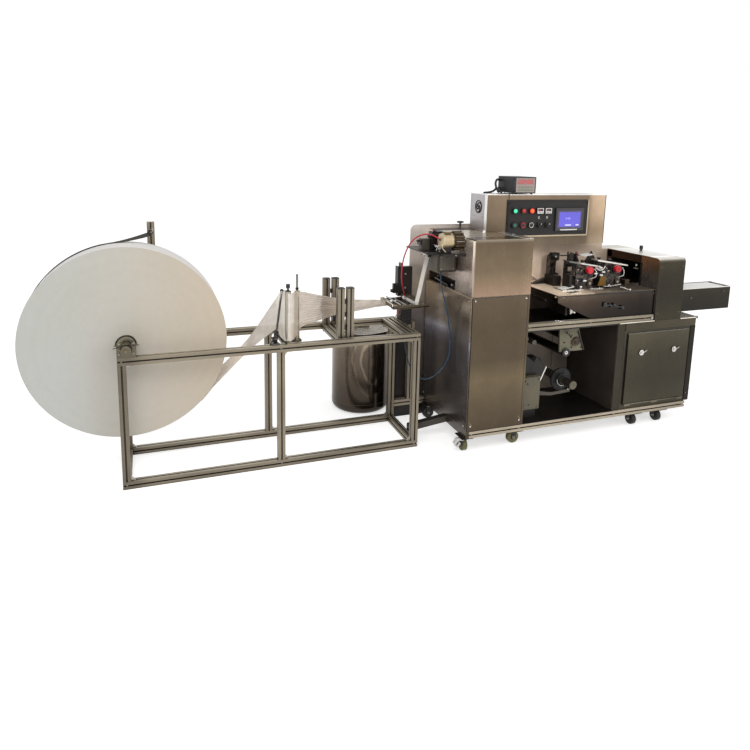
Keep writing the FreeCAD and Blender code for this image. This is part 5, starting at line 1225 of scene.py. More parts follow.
def turn_bar_fittings():
    """Clamps, struts and the screws of the bars' feet, and the steel sleeve ends."""
    kit = Kit("turn_bar_fittings", slot="dark_steel")
    for x, y in ((870, 66), (920, 66)):
        kit.turned((x, y, 700), (x, y, 701), [(0, 21), (5, 21), (6, 20), (6, 14), (26, 14), (27, 12.5),
                                              (27, 5.9)], OLD_STEEL, 28)
        kit.bolt((x - 14, y, 717), LEFT, 8, BLACK_STEEL)
    kit.bolts([(773, 24, 708), (903, 66, 708), (807, 24, 708), (937, 66, 708)], UP, 9)
    foot = SLANT_FOOT + Vector((0, 0, 12))
    kit.slab([(768, 20, 742), (812, 34, 742), (800, 28, 708), (782, 24, 708)], (0, 8, 0), BLACK_STEEL, 1)
    near = along(foot, SLANT_FOOT + SLANT_WAY, 0.16)
    kit.wire([near, Vector((836, 16, 716)), Vector((852, 10, 703))], 9, BLACK_STEEL)
    kit.wire([near + Vector((-2, -4, -2)), Vector((764, 18, 702))], 9, BLACK_STEEL)
    kit.turned(near - SLANT_WAY.normalized() * 14, near + SLANT_WAY.normalized() * 14,
               [(0, 12), (1, 13), (27, 13), (28, 12)], BLACK_STEEL, 24)
    kit.turned((870, 66, 979.5), (870, 66, 990), [(0, 17), (2, 17), (3, 15), (3, 8), (9, 8), (10, 6.2)],
               BLACK_STEEL, 28)
    kit.turned((920, 66, 1071.5), (920, 66, 1073), [(0, 5.4), (0.6, 4.6)], STEEL_ROD, 20)
    kit.turned((920, 66, 989), (920, 66, 990), [(0, 9), (9, 9), (10, 8), (10, 6.1)], BLACK_STEEL, 24)
    kit.thread((920, 66, 1000), 26, [(0, 6.05), (1.0, 6.6), (2.0, 6.05)], STEEL_ROD, 18)
    kit.done()


def bar_wrap():
    """The turn of web round the upright bar, a cream sleeve that the web runs onto."""
    kit = Kit("bar_wrap", slot="nonwoven")
    centre = Vector((920, 66, 0))
    radius = 13.5
    foot, height = 722, 262
    around, rises = 32, 40
    first, reach = -215, 250
    corners = []
    for number in range(around + 1):
        angle = math.radians(first + reach * number / around)
        corners.append(Vector((radius * math.cos(angle), radius * math.sin(angle), 0)))
    part = bmesh.new()
    rows = []
    for step in range(rises + 1):
        z = foot + height * step / rises
        row = []
        for number, corner in enumerate(corners):
            swell = 1 + 0.05 * math.sin(number * 0.9 + step * 0.11) + 0.02 * math.sin(number * 2.3)
            row.append(part.verts.new(spot(*(centre + corner * swell + Vector((0, 0, z))))))
        rows.append(row)
    skin(part, rows)
    kit.take(part, WRAP_CLOTH)
    kit.done()


def stand_fittings():
    """The clamp between the back posts, the bolts in the slots between the posts, and end bores."""
    kit = Kit("stand_fittings", slot="dark_steel")
    for z in (755, 830, 905):
        for y in (66, 364):
            kit.rod((1188, y, z), (1204, y, z), 14, BOLT, 1)
            kit.block((1190, y - 12, z - 12), (1202, y + 12, z + 12), BLACK_STEEL, 1.5)
    kit.block((1132, 330, 776), (1200, 344, 862), BLACK_STEEL, 2)
    kit.block((1122, 312, 790), (1150, 332, 822), DARK_BRASS, 2)
    kit.rod((1136, 300, 806), (1136, 345, 806), 22, BLACK_STEEL, 2)
    kit.bolt((1136, 300, 806), FRONT, 16)
    kit.rod((1176, 322, 842), (1176, 336, 842), 18, BOLT, 2)
    kit.rod((1110, 338, 800), (1210, 338, 800), 9, STEEL_ROD)
    kit.slab([(1204, 330, 720), (1238, 330, 720), (1204, 330, 760)], (0, 12, 0), BLACK_STEEL, 1)
    for x in (1168, 1224):
        for y in (66, 364):
            kit.turned((x, y, 984.8), (x, y, 986), [(0, 8), (1, 8), (1.4, 7), (1.4, 4), (0.4, 3.4)],
                       BLACK_PLASTIC, 20)
    kit.done()


for make in (frame_fittings, roll_fittings, bearing_fittings, strap_fittings, turn_bar_fittings, bar_wrap,
             stand_fittings):
    make()


# Liquid drum and what stands behind the frame
def drum_fittings():
    """The drum's rolled rims and handles, bright rings on its lid as painted highlights, and the clear film
    over its lid.
    """
    kit = Kit("drum_fittings", slot="drum_steel")
    x, y = 1520, 722
    kit.hoop((x, y, 563), UP, 203, 6, BRIGHT, steps=90)
    kit.hoop((x, y, 530), UP, 204, 4, OLIVE_METAL, steps=90)
    kit.hoop((x, y, 70), UP, 199.6, 3, DARK_BRASS, steps=90)
    for angle in (math.radians(200), math.radians(20)):
        out = Vector((math.cos(angle), math.sin(angle), 0))
        side = Vector((-out.y, out.x, 0))
        root = Vector((x, y, 470)) + out * 200
        handle = [root - side * 45, root - side * 45 + out * 4.5, root - side * 36 + out * 5.4,
                  root + side * 36 + out * 5.4, root + side * 45 + out * 4.5, root + side * 45]
        kit.wire(smooth_path(handle), 5, BRIGHT)
    # Painted highlights: three bright rings on the lid
    for number in range(3):
        kit.hoop((x, y, 563.4), UP, 60 + 46 * number, 2, BRIGHT, steps=70)
    kit.done()
    mesh = bmesh.new()
    rows = []
    rings = 26
    around = 72
    film_radius = 196
    lid_top = 564
    for ring in range(1, rings + 1):
        reach = film_radius * ring / rings
        row = []
        for number in range(around):
            angle = 2 * math.pi * number / around
            swirl = math.sin(reach / 13 + 2.4 * math.sin(angle * 2))
            lift = 4.5 + 3.2 * swirl * math.sin(angle * 3 + reach / 40)
            edge = 1 + 0.03 * math.sin(angle * 7)
            row.append(mesh.verts.new(spot(x + 6 + reach * edge * math.cos(angle),
                                           y + reach * edge * math.sin(angle), lid_top + max(lift, 0.8))))
        rows.append(row)
    skin(mesh, rows, closed=True, smooth=True)
    finish = Finish("clear_film")
    creases = finish.noise(24, detail=4)
    finish.set(Base_Color=finish.ramp(creases, tones((0.3, 120, 108, 92), (0.7, 206, 196, 176))),
               Roughness=finish.level(creases, 0.12, 0.3), Metallic=0.2, Alpha=0.32)
    finish.bump(creases, 0.5, 0.004)
    piece = place_mesh("drum_film", mesh, [finish.material])


def rear_fittings():
    """The pump box's front, its pipes, the leg's edge and the wires under the folder."""
    kit = Kit("rear_fittings", slot="dark_steel")
    kit.block((1672, 444, 30), (1852, 446.2, 552), BLACK_STEEL, 0.8)
    kit.bolts(product((1684, 1840), (444,), (60, 540)), FRONT, 9, BLACK_STEEL)
    kit.block((1700, 398, 720), (1740, 436, 812), BLACK_STEEL, 2)
    kit.block((1648, 398, 690), (1744, 404, 826), BLACK_STEEL, 1.5)
    kit.block((1600, 350, 868), (1642, 372, 930), BLACK_STEEL, 2)
    kit.rod((1600, 361, 884), (1586, 361, 884), 22, BLACK_PLASTIC, 2)
    kit.rod((1620, 350, 918), (1620, 338, 918), 20, BLACK_STEEL, 2)
    kit.block((1646, 394, 856), (1652, 440, 1030), BLACK_STEEL, 1)
    kit.block((1664, 390, 1026), (1674, 430, 1052), GREY_PAINT, 1)
    kit.bolts([(1700, 399.6, 980), (1700, 399.6, 890)], FRONT, 12)
    kit.bolt((1725, 311.8, 806), FRONT, 10)
    for number in range(7):
        z = 700 + number * 16
        kit.block((1650, 311, z), (1704, 312.4, z + 6), BLACK_PLASTIC, 0.4)
    for turn, colour in ((0, ORANGE_PVC), (1, RED_PVC)):
        path = []
        for number in range(40):
            share = number / 39
            angle = 2 * math.pi * 1.6 * share + math.pi * turn
            path.append((1636 + 8 * math.cos(angle) - 5 * share, 330 + 8 * math.sin(angle),
                         838 - 118 * share))
        kit.wire(path, 4.6, colour, BACK)
    kit.wire(smooth_path([(1652, 352, 764), (1630, 350, 735), (1612, 350, 700), (1606, 352, 664)]), 5,
             YELLOW_BRASS, BACK)
    kit.wire(smooth_path([(1660, 360, 668), (1668, 380, 640), (1690, 410, 610), (1700, 446, 560)]), 6,
             BLACK_PLASTIC, BACK)
    kit.block((1762, 396, 140), (1768, 404, 620), OLIVE_METAL, 1)
    # a dark block beside the pump box, under the rear plate, that stands for the shade on the floor there
    kit.block((1858, 447, 1), (1962, 553, 132), BLACK_STEEL, 2)
    kit.block((1866, 444.6, 8), (1954, 447, 124), BLACK_STEEL, 0.8)
    kit.bolts([(1640.5, y, 58) for y in (144, 156)], RIGHT, 8)
    kit.done()


drum_fittings()
rear_fittings()


# Fold unit left of the column
def fold_fittings():
    """The fold unit: arms' rods and rollers, guides, motor, ribbed wheel, gearbox and hose ends."""
    kit = Kit("fold_fittings", slot="machined_steel")
    for y in (94, 306):
        kit.bolts([(x, y, 852) for x in (1512, 1560, 1608, 1690)], UP, 8)
        kit.block((1500, y - 8, 852), (1524, y + 8, 858), OLIVE_METAL, 1)
    kit.block((1492, 110, 838), (1500, 290, 858), OLIVE_METAL, 1.5)
    kit.block((1496, 84, 832), (1530, 122, 842), DARK_BRASS, 1.5)
    kit.rod((1506, 130, 862), (1506, 270, 862), 9, STEEL_ROD)
    kit.rod((1540, 88, 860), (1540, 312, 860), 9, BOLT)
    kit.rod((1590, 88, 846), (1590, 312, 846), 10, STEEL_ROD)
    kit.slab([(1540, 100, 834), (1652, 100, 834), (1652, 300, 834), (1540, 270, 834)], (0, 0, 3),
             DARK_BRASS, 0.8)
    kit.wire([(1496, 92, 838), (1540, 86, 833), (1610, 84, 834), (1730, 84, 838)], 6, DARK_BRASS)
    kit.rod((1652, 88, 849), (1652, 100, 849), 16, BOLT, 1)
    kit.rod((1652, 300, 849), (1652, 314, 849), 16, BOLT, 1)
    kit.turned((1652, 96, 849), (1652, 304, 849), [(0, 12.4), (3, 12.4), (4, 11.2), (204, 11.2), (205, 12.4),
                                                   (208, 12.4)], WHITE_PLASTIC, 28)
    # upper roller, its T-shaped guide and the bright flats by it
    kit.turned((1712, 74, 1149), (1712, 176, 1149),
               [(0, 6), (6, 6), (6.6, 11.6), (95, 11.6), (96, 6), (102, 6)], BRIGHT, 28)
    kit.block((1690, 92, 1158), (1736, 122, 1164), WHITE_PLASTIC, 1)
    kit.block((1676, 70, 1160), (1766, 76, 1168), BRIGHT, 1)
    kit.slab([(1748, 40, 1186), (1832, -30, 1186), (1836, -26, 1186), (1752, 46, 1186)], (0, 0, 9), BRIGHT, 1)
    kit.slab([(1735, 60, 1206), (1800, 20, 1194), (1800, 12, 1188), (1735, 52, 1200)], (0, 0, 8), BRIGHT, 1)
    kit.block((1654, -12, 1164), (1736, -8, 1180), BLACK_STEEL, 1)
    kit.block((1735, -88, 1160), (1864, -84.5, 1178), BLACK_STEEL, 1)
    kit.bolt((1800, -84.5, 1169), FRONT, 9, BRIGHT)
    kit.bolts([(x, 4, 1176) for x in (1665, 1725)], UP, 8)
    kit.bolts([(x, y, 1242) for y in (118, 142) for x in (1682, 1718)], UP, 6)
    kit.block((1664, 104, 1206), (1674.5, 152, 1236), BLACK_STEEL, 1)
    kit.rod((1650, 128, 1228), (1674, 128, 1228), 10, BLACK_STEEL, 1)
    # dark block with its red plug and screws
    kit.bolts([(x, 75.2, z) for z in (1210, 1262) for x in (1740, 1784)], FRONT, 9)
    kit.rod((1744, 84, 1288), (1744, 84, 1296), 20, MAROON, 2)
    kit.block((1752, 60, 1196), (1796, 75.4, 1232), MAROON, 2)
    kit.rod((1724, 60, 1270), (1798, 60, 1270), 12, BLACK_STEEL, 1.5)
    kit.rod((1698, 78, 1262), (1730, 78, 1262), 20, BLACK_PLASTIC, 2)
    # motor: flange, cooling ribs, gland
    for number in range(9):
        x = 1738 + number * 5.4
        kit.turned((x, -30, 1247), (x + 2, -30, 1247), [(0, 42.1), (0.6, 43.6), (1.8, 43.6), (2.4, 42.1)],
                   MOTOR_TAN, 44)
    kit.turned((1728, -30, 1247), (1731, -30, 1247), [(0, 34), (1, 39), (3, 42)], MOTOR_TAN, 44)
    kit.turned((1794, -30, 1247), (1800, -30, 1247), [(0, 42.4), (1, 45), (6, 45), (6.6, 43)],
               OLIVE_METAL, 44)
    for number in range(4):
        angle = math.radians(45 + 90 * number)
        kit.bolt((1800, -30 + 38 * math.cos(angle), 1247 + 38 * math.sin(angle)), RIGHT, 7)
    kit.block((1746, -52, 1288), (1784, -12, 1300), OLIVE_METAL, 3)
    # ribbed wheel: bright lines on its ribs, hub and screw
    for number in range(12):
        angle = 2 * math.pi * number / 12
        out = Vector((0, math.cos(angle), math.sin(angle)))
        centre = Vector((0, -30, 1247)) + out * 54.4
        kit.rod(centre + Vector((1804, 0, 0)), centre + Vector((1854, 0, 0)), 3, BRIGHT if number % 3 == 0
                else OLIVE_METAL, 0.6, 12)
    kit.turned((1857.5, -30, 1247), (1860, -30, 1247),
               [(0, 30), (2, 30), (3, 27), (3, 12), (6, 11), (6.4, 9)], OLIVE_METAL, 32)
    kit.wire(smooth_path([(1732, -6, 1226), (1722, -8, 1206), (1716, -6, 1190), (1724, 0, 1180)]), 5, BRIGHT)
    kit.wire(smooth_path([(1730, -66, 1236), (1722, -70, 1212), (1744, -74, 1186)]), 5, MOTOR_TAN)
    # gearbox: cover, screws, breather and the blue hose's elbow
    kit.block((1742, -3, 1070), (1838, 0, 1156), GREY_PAINT, 1.5)
    kit.bolts(product((1750, 1830), (-3,), (1078, 1148)), FRONT, 9)
    kit.block((1727, 8, 1072), (1730, 122, 1154), GREY_PAINT, 1.5)
    kit.rod((1760, 40, 1168), (1760, 40, 1180), 16, BRIGHT, 1.5)
    kit.rod((1800, 60, 1167.6), (1800, 60, 1172), 14, BRIGHT, 1.5)
    kit.rod((1763, 20, 1058), (1763, 20, 1044), 16, BLUE_PVC, 1.5)
    kit.turned((1763, 20, 1030), (1763, 20, 1031), [(0, 5), (2, 7), (14, 7), (15, 5)], BLACK_PLASTIC, 20)
    # recess in the column's side: painted dark as shade, with bright screws and a bent bright strip
    kit.block((1922.2, 34, 941), (1924.6, 390, 999), PAINTED_DEEP_SHADE, 0.5)
    kit.block((1866, 34, 940.6), (1922, 390, 943), PAINTED_DEEP_SHADE, 0.5)
    kit.slab([(1874, 330, 958), (1874, 240, 950), (1874, 150, 946), (1874, 150, 952), (1874, 240, 957),
              (1874, 330, 966)], (3, 0, 0), BRIGHT, 0.5)
    kit.ball((1880, 100, 958), 13, BRIGHT)
    kit.rod((1878, 300, 978), (1900, 300, 978), 9, BRIGHT, 1)
    kit.block((1880, 60, 943), (1916, 120, 968), BLACK_STEEL, 2)
    # red hose's fittings
    kit.turned((1738, -30, 1250), (1722, -28, 1256), [(0, 8), (8, 8), (9, 6.4), (16, 6.4), (17, 5)],
               BLACK_PLASTIC, 24)
    kit.turned((1640, 246, 852), (1640, 246, 872), [(0, 8), (6, 8), (7, 6.6), (18, 6.6), (19, 5)],
               BRIGHT, 24)
    kit.done()


def star_knob():
    """The star knob that clamps the rear plate's slide, on its threaded stem."""
    kit = Kit("star_knob", slot="machined_steel")
    x, y = 2076, 399
    kit.turned((x, y, 1266.6), (x, y, 1268), [(0, 15), (4, 15), (5, 13), (5, 6), (34, 6)], KNOB_DARK, 28)
    kit.thread((x, y, 1274), 9, [(0, 6), (1, 6.8), (2, 6)], KNOB_DARK, 20)
    kit.turned((x, y, 1299), (x, y, 1300), [(0, 9), (2, 13), (5, 15), (13, 15), (15, 12), (16, 4)],
               KNOB_DARK, 28)
    for number in range(6):
        angle = 2 * math.pi * number / 6
        lobe = Vector((x + 18 * math.cos(angle), y + 18 * math.sin(angle), 1307))
        kit.ball(lobe, 15, KNOB_DARK, (1, 1, 0.7))
    kit.done()


fold_fittings()
star_knob()


# Wrapper: column, casters and base
def column_fittings():
    """The column's front plate and left side, their screws, and strips on the cover's top."""
    kit = Kit("column_fittings", slot="stainless")
    front = -180
    kit.block((1867.5, front - 1.2, 139), (2236, front, 936), BLACK_STEEL, 0.4)
    plate = steel("column_plate_steel", "column_housing", COLUMN_FRONT, COLUMN_FRONT, roughness=0.24)
    kit.block((1871, front - 3.4, 142), (2231, front - 0.8, 933), plate, 1)
    kit.bolts([(x, front - 3.4, z) for x, z in ((1885, 920), (2217, 920), (1888, 172), (2217, 172))],
              FRONT, 10, BRIGHT)
    for x, z in ((1892, 180), (2220, 184)):
        kit.slab([(x - 11, front - 3.4, z + 13), (x - 7, front - 3.4, z + 15), (x + 8, front - 3.4, z - 8),
                  (x + 4, front - 3.4, z - 10)], (0, -2, 0), OLIVE_METAL, 0.8)
    kit.block((1862.4, -166, 150), (1865.2, 428, 930), column_side(), 1)
    kit.bolts(product((1862.4,), (-152, 414), (166, 914)), LEFT, 9)
    kit.turned((2092, 118, 1266.8), (2092, 118, 1268), [(0, 13), (2, 13), (3, 8), (12, 8), (16, 6), (17, 2)],
               BRIGHT, 24)
    kit.bolts([(2236, -168, 1267), (2236, 20, 1267)], UP, 8, BRIGHT)
    # A bright strip on the cover top's right edge is a painted highlight, the darker band over its front a
    # painted reflection
    kit.block((2196, -174, 1266.6), (2252, 158, 1268.6), BRIGHT, 0.6)
    band = metal("cover_reflection_band", tone(112, 97, 82), 0.22, "x", 0.3)
    kit.block((1870, -177, 1266.4), (2190, -60, 1267.6), band, 0.4)
    kit.block((1866, 296, 1266.4), (2168, 392, 1268), painted("rear_flange", tone(58, 44, 35), 0.6, 0.3), 0.4)
    kit.bolts([(1866, y, 1000) for y in (-160, 60)], LEFT, 7)
    kit.done()


def caster_fittings():
    """Hubs, nuts and brake pedals on the casters, and the tyres' grooves."""
    kit = Kit("caster_fittings", slot="zinc")
    wheel = 75
    half_wide = 12.6
    swivelled = ("front_first", "front_third", "front_fourth", "back_third")
    for number, reach in (("first", 16), ("second", 356), ("third", 1266), ("fourth", 1474)):
        for side, y in (("front", -118), ("back", 378)):
            x = MACHINE_X + reach
            way = Vector(RIGHT) if f"{side}_{number}" in swivelled else Vector(BACK)
            centre = Vector((x, y, wheel / 2))
            tyre = RUBBER if number in ("first", "second") and side == "front" else SMALL_TYRE
            for sign in (-1, 1):
                face = centre + way * sign * half_wide
                kit.turned(face, face + way * sign, [(0, 25), (0.7, 25), (1.2, 24), (1.2, 15), (0, 14)],
                           tyre, 32)
                kit.nut(centre + way * sign * 19, way * sign, 13, BOLT)
            for groove in (-6, 6):
                kit.hoop(centre + way * groove, way, wheel / 2 - 0.6, 2.4, tyre, steps=48)
            kit.turned((x, y, 79), (x, y, 80), [(0, 23), (5, 25), (9, 25), (12, 20)], BOLT, 30)
            kit.bolts(product((x - 27, x + 27), (y - 24, y + 24), (91,)), DOWN, 8)
    # the brake pedals stand out to the left at the front left corner
    x, y = 1881, -118
    kit.slab([(x - 12, y - 38, 84), (x - 52, y - 38, 92), (x - 74, y - 38, 60), (x - 66, y - 38, 54),
              (x - 44, y - 38, 78), (x - 12, y - 38, 72)], (0, 30, 0), WHITE_PLASTIC, 2)
    kit.slab([(x - 40, y - 40, 70), (x - 60, y - 40, 44), (x - 54, y - 40, 36), (x - 34, y - 40, 60)],
             (0, 34, 0), WHITE_PLASTIC, 1.5)
    kit.block((x - 30, y - 36, 50), (x - 14, y - 4, 70), BLACK_STEEL, 2)
    kit.rod((x - 56, y - 44, 66), (x - 56, y - 2, 66), 7, BLACK_STEEL, 1)
    kit.done()


def base_fittings():
    """Bores and bolts of the base rails, and the fittings on the upper rail."""
    kit = Kit("base_fittings", slot="aluminium_profile")
    start, end = 1886, 3520
    for x, way in ((start, -1), (end, 1)):
        for y in (-160, 420):
            kit.rod((x - way * 2, y, 115), (x + way * 0.5, y, 115), 9, BLACK_STEEL, 0.3)
    kit.block((2240, -176, 134.6), (2252, -150, 137), BLACK_STEEL, 0.6)
    kit.block((2160, -181.6, 110), (2166, -179.5, 120), BLACK_STEEL, 0.4)
    kit.bolts([(x, -171, 115) for x in (1905, 2228, 2937, 3500)], FRONT, 10)
    # bracket and bolt at the upper rail's right end, and its bore
    kit.block((3160, -183, 726), (3178, -179.6, 744), BOLT, 1)
    kit.bolt((3169, -183, 735), FRONT, 9, BRIGHT)
    kit.block((3180.2, -176, 718), (3184, -144, 752), OLIVE_METAL, 0.8)
    kit.bolts([(x, -171, 736) for x in (2262, 2700, 3120)], FRONT, 9)
    kit.rod((2452, -150, 758), (2544, -178, 752), 7, BRIGHT, 1)
    kit.done()


for make in (column_fittings, caster_fittings, base_fittings):
    make()


# Control box, its panel and the counter box on top
def panel_fittings():
    """The control panel: rim, lamps, counters, push buttons, selectors and the touch screen."""
    kit = Kit("panel_fittings", slot="panel")
    face = 159
    cap = 145
    # Painted light and shade: the rim bright on its right and bottom edges, dark on its top and left
    rim = metal("lit_rim_steel", tone(176, 160, 136), 0.3)
    kit.block((2272, 157.5, 1230), (2889, 163.4, 1239), rim)
    kit.block((2880, 157.5, 1239), (2889, 163.4, 1466), rim)
    kit.block((2272, 157.5, 1457), (2880, 163.4, 1466), BLACK_STEEL)
    kit.block((2272, 157.5, 1239), (2278, 163.4, 1457), BLACK_STEEL)
    kit.frame((2282, 157.8, 1240), (2879, 159.4, 1456), 3, BLACK_STEEL, 0.4)
    columns = [2325, 2386, 2447, 2508, 2569]
    upper, lower = 1396, 1306
    for x, finish, bezel in ((columns[0], LAMP_GREEN, BLACK_PLASTIC), (columns[1], LAMP_RED, DARK_BRASS),
                             (columns[2], LAMP_ORANGE, RED_PLASTIC)):
        kit.turned((x, cap + 1, upper), (x, cap, upper),
                   [(0, 17.4), (1.4, 17.4), (2, 16.6), (2, 14), (1, 13.6)], bezel, 36)
        kit.turned((x, cap + 0.6, upper), (x, cap, upper), [(0, 13), (3, 12.4), (5, 10), (6.4, 6), (6.8, 2)],
                   finish, 32)
    for x, number in ((columns[3], "12"), (columns[4], "07")):
        kit.block((x - 23, cap - 1.6, upper - 17), (x + 23, cap + 0.4, upper + 17), WHITE_PLASTIC, 0.8)
        kit.block((x - 18, cap - 2, upper - 2), (x + 18, cap - 1.4, upper + 13), BLACK_PLASTIC, 0.3)
        kit.digits(number, (x - 12, cap - 2, upper), 11, DIGIT_RED)
        for step in range(3):
            kit.rod((x - 12 + step * 12, cap - 1.4, upper - 10), (x - 12 + step * 12, cap - 3, upper - 10), 6,
                    GREY_PAINT, 0.6, 14)
        kit.block((x - 5, face - 1, 1346), (x + 5, face, 1360), WHITE_PLASTIC, 0.3)
        kit.block((x - 3, face - 1.4, 1349), (x + 3, face - 0.8, 1357), GREY_PAINT, 0.2)
    for x, finish, bezel in ((columns[0], DIM_GREEN, BLACK_PLASTIC), (columns[1], BLACK_PLASTIC, RED_PLASTIC),
                             (columns[2], BLACK_PLASTIC, BOLT)):
        kit.turned((x, cap + 1, lower), (x, cap, lower),
                   [(0, 18), (1.4, 18), (2.4, 17), (2.4, 13.5), (1, 13)], bezel, 36)
        kit.turned((x, cap + 0.6, lower), (x, cap, lower), [(0, 12.4), (2.4, 12.4), (3.2, 11), (3.6, 3)],
                   finish, 32)
    for x in columns[3:]:
        kit.turned((x, cap + 1, lower), (x, cap, lower), [(0, 17.4), (1.6, 17.4), (2.4, 16.4), (2.4, 12)],
                   BLACK_STEEL, 36)
        turn = Matrix.Rotation(math.radians(40), 3, "Y")
        kit.block((x - 4.5, cap - 9, lower - 15), (x + 4.5, cap - 1, lower + 15), BLACK_PLASTIC, 2, turn)
        kit.block((x - 1, cap - 9.6, lower + 5), (x + 1, cap - 8.8, lower + 14), WHITE_PLASTIC, 0.2, turn,
                  (x, cap, lower))
    # touch screen: bezel, glass and a plain picture of bars
    bezel = painted("bezel_grey", tone(54, 50, 52), 0.4, 0.08)
    kit.frame((2628, 145.4, 1266), (2843, 149, 1412), 16, bezel, 1.6)
    kit.frame((2640, 146, 1278), (2831, 148, 1400), 14,
              painted("mask_violet", tone(84, 78, 104), 0.3, 0.1), 0.8)
    kit.block((2654, 146.2, 1292), (2817, 147.4, 1386), SCREEN_BLUE, 0.3)
    kit.block((2702, 145.9, 1299), (2748, 146.4, 1306), SCREEN_LIGHT, 0.2)
    kit.block((2784, 145.9, 1299), (2806, 146.4, 1307), SCREEN_LIGHT, 0.2)
    kit.digits("0120", (2706, 146, 1340), 10, SCREEN_LIGHT, 9)
    kit.block((2664, 144.6, 1269), (2796, 145.8, 1276), BRIGHT, 0.4)
    kit.bolts(product((2292, 2869), (face,), (1250, 1446)), FRONT, 8, BLACK_STEEL)
    kit.done()


def box_fittings():
    """The control box's edges, painted bright as highlights along its left front edge and its top, and the
    fan vent in its left side.
    """
    kit = Kit("box_fittings", slot="stainless")
    pale = metal("box_highlight_steel", tone(232, 230, 226), 0.3, "z")
    # Painted highlights along the box's left front edge and its top
    kit.block((2129.6, 164, 1268), (2132.4, 190, 1496), pale, 0.8)
    kit.block((2128.8, 162.4, 1494.6), (3026, 376, 1498), pale, 0.8)
    kit.block((3022.6, 161.6, 1176), (3026.4, 166, 1496), BLACK_STEEL, 0.6)
    kit.block((2277, 162, 1176), (2279, 163.4, 1236), BLACK_STEEL, 0.3)
    # fan vent in the box's left side: a ring with three swept blades
    x, y, z = 2131.6, 270, 1416
    kit.hoop((x, y, z), RIGHT, 38, 7, BLACK_STEEL)
    for turn in range(3):
        path = []
        for number in range(14):
            share = number / 13
            angle = math.radians(120 * turn + 150 * share)
            reach = 6 + 28 * share
            path.append((x, y + reach * math.cos(angle), z + reach * math.sin(angle)))
        kit.wire(path, 9, BLACK_STEEL, RIGHT)
    kit.rod((x + 0.6, y, z), (x - 2, y, z), 12, BLACK_STEEL, 1)
    kit.bolts([(2132, y - 52, z - 60), (2132, y + 52, z - 60)], LEFT, 8)
    kit.done()


def counter_fittings():
    """The counter box: rim, glass with digits, keys, vents and the lead that goes into the control box."""
    kit = Kit("counter_fittings", slot="grey_paint")
    x0, x1, z0, z1 = 2329, 2477, 1505, 1607
    kit.frame((x0 - 1.5, 169.5, z0 - 0.5), (x1 + 1.5, 176.5, z1), 7, BLACK_PLASTIC, 1.4)
    window = painted("window_red", tone(180, 124, 122), 0.25, 0.06)
    kit.block((x0 + 14, 170.2, z0 + 56), (x1 - 14, 171.2, z1 - 14), window, 0.4)
    kit.digits("20450", (x0 + 24, 170.3, z0 + 60), 23, DIGIT_RED, 21)
    for number in range(5):
        x = x0 + 22 + number * 22
        key = painted(f"key_{number}", tone(132, 138, 122), 0.4, 0.06)
        kit.block((x, 169.4, z0 + 32), (x + 14, 171.2, z0 + 44), key, 1)
    kit.block((x0 + 20, 170.2, z0 + 16), (x1 - 20, 171.2, z0 + 24), DIGIT_DIM, 0.4)
    for number in range(8):
        y = 210 + number * 18
        kit.block((x0 - 1, y, z0 + 24), (x0 + 0.4, y + 6, z0 + 78), BLACK_PLASTIC, 0.3)
    kit.bolts(product((x0,), (190, 360), (z0 + 14, z1 - 14)), LEFT, 7, BLACK_STEEL)
    lead = smooth_path([(2329, 350, 1580), (2304, 350, 1584), (2290, 344, 1560), (2292, 338, 1530),
                        (2270, 332, 1512), (2230, 322, 1503), (2190, 304, 1502)])
    kit.wire(lead, 14, BLACK_PLASTIC)
    kit.hoop((2308, 330, 1520), (0.3, -1, 0), 15, 10, BLACK_PLASTIC)
    kit.turned((2190, 304, 1498), (2190, 304, 1500), [(0, 9), (5, 9), (6, 6), (10, 5)], BLACK_PLASTIC, 20)
    kit.wire(smooth_path([(2329, 300, 1524), (2312, 280, 1514), (2300, 240, 1502), (2290, 200, 1499),
                          (2284, 168, 1500), (2283, 158, 1490), (2283, 158, 1470)]), 3.5, BLACK_PLASTIC)
    kit.done()


for make in (panel_fittings, box_fittings, counter_fittings):
    make()


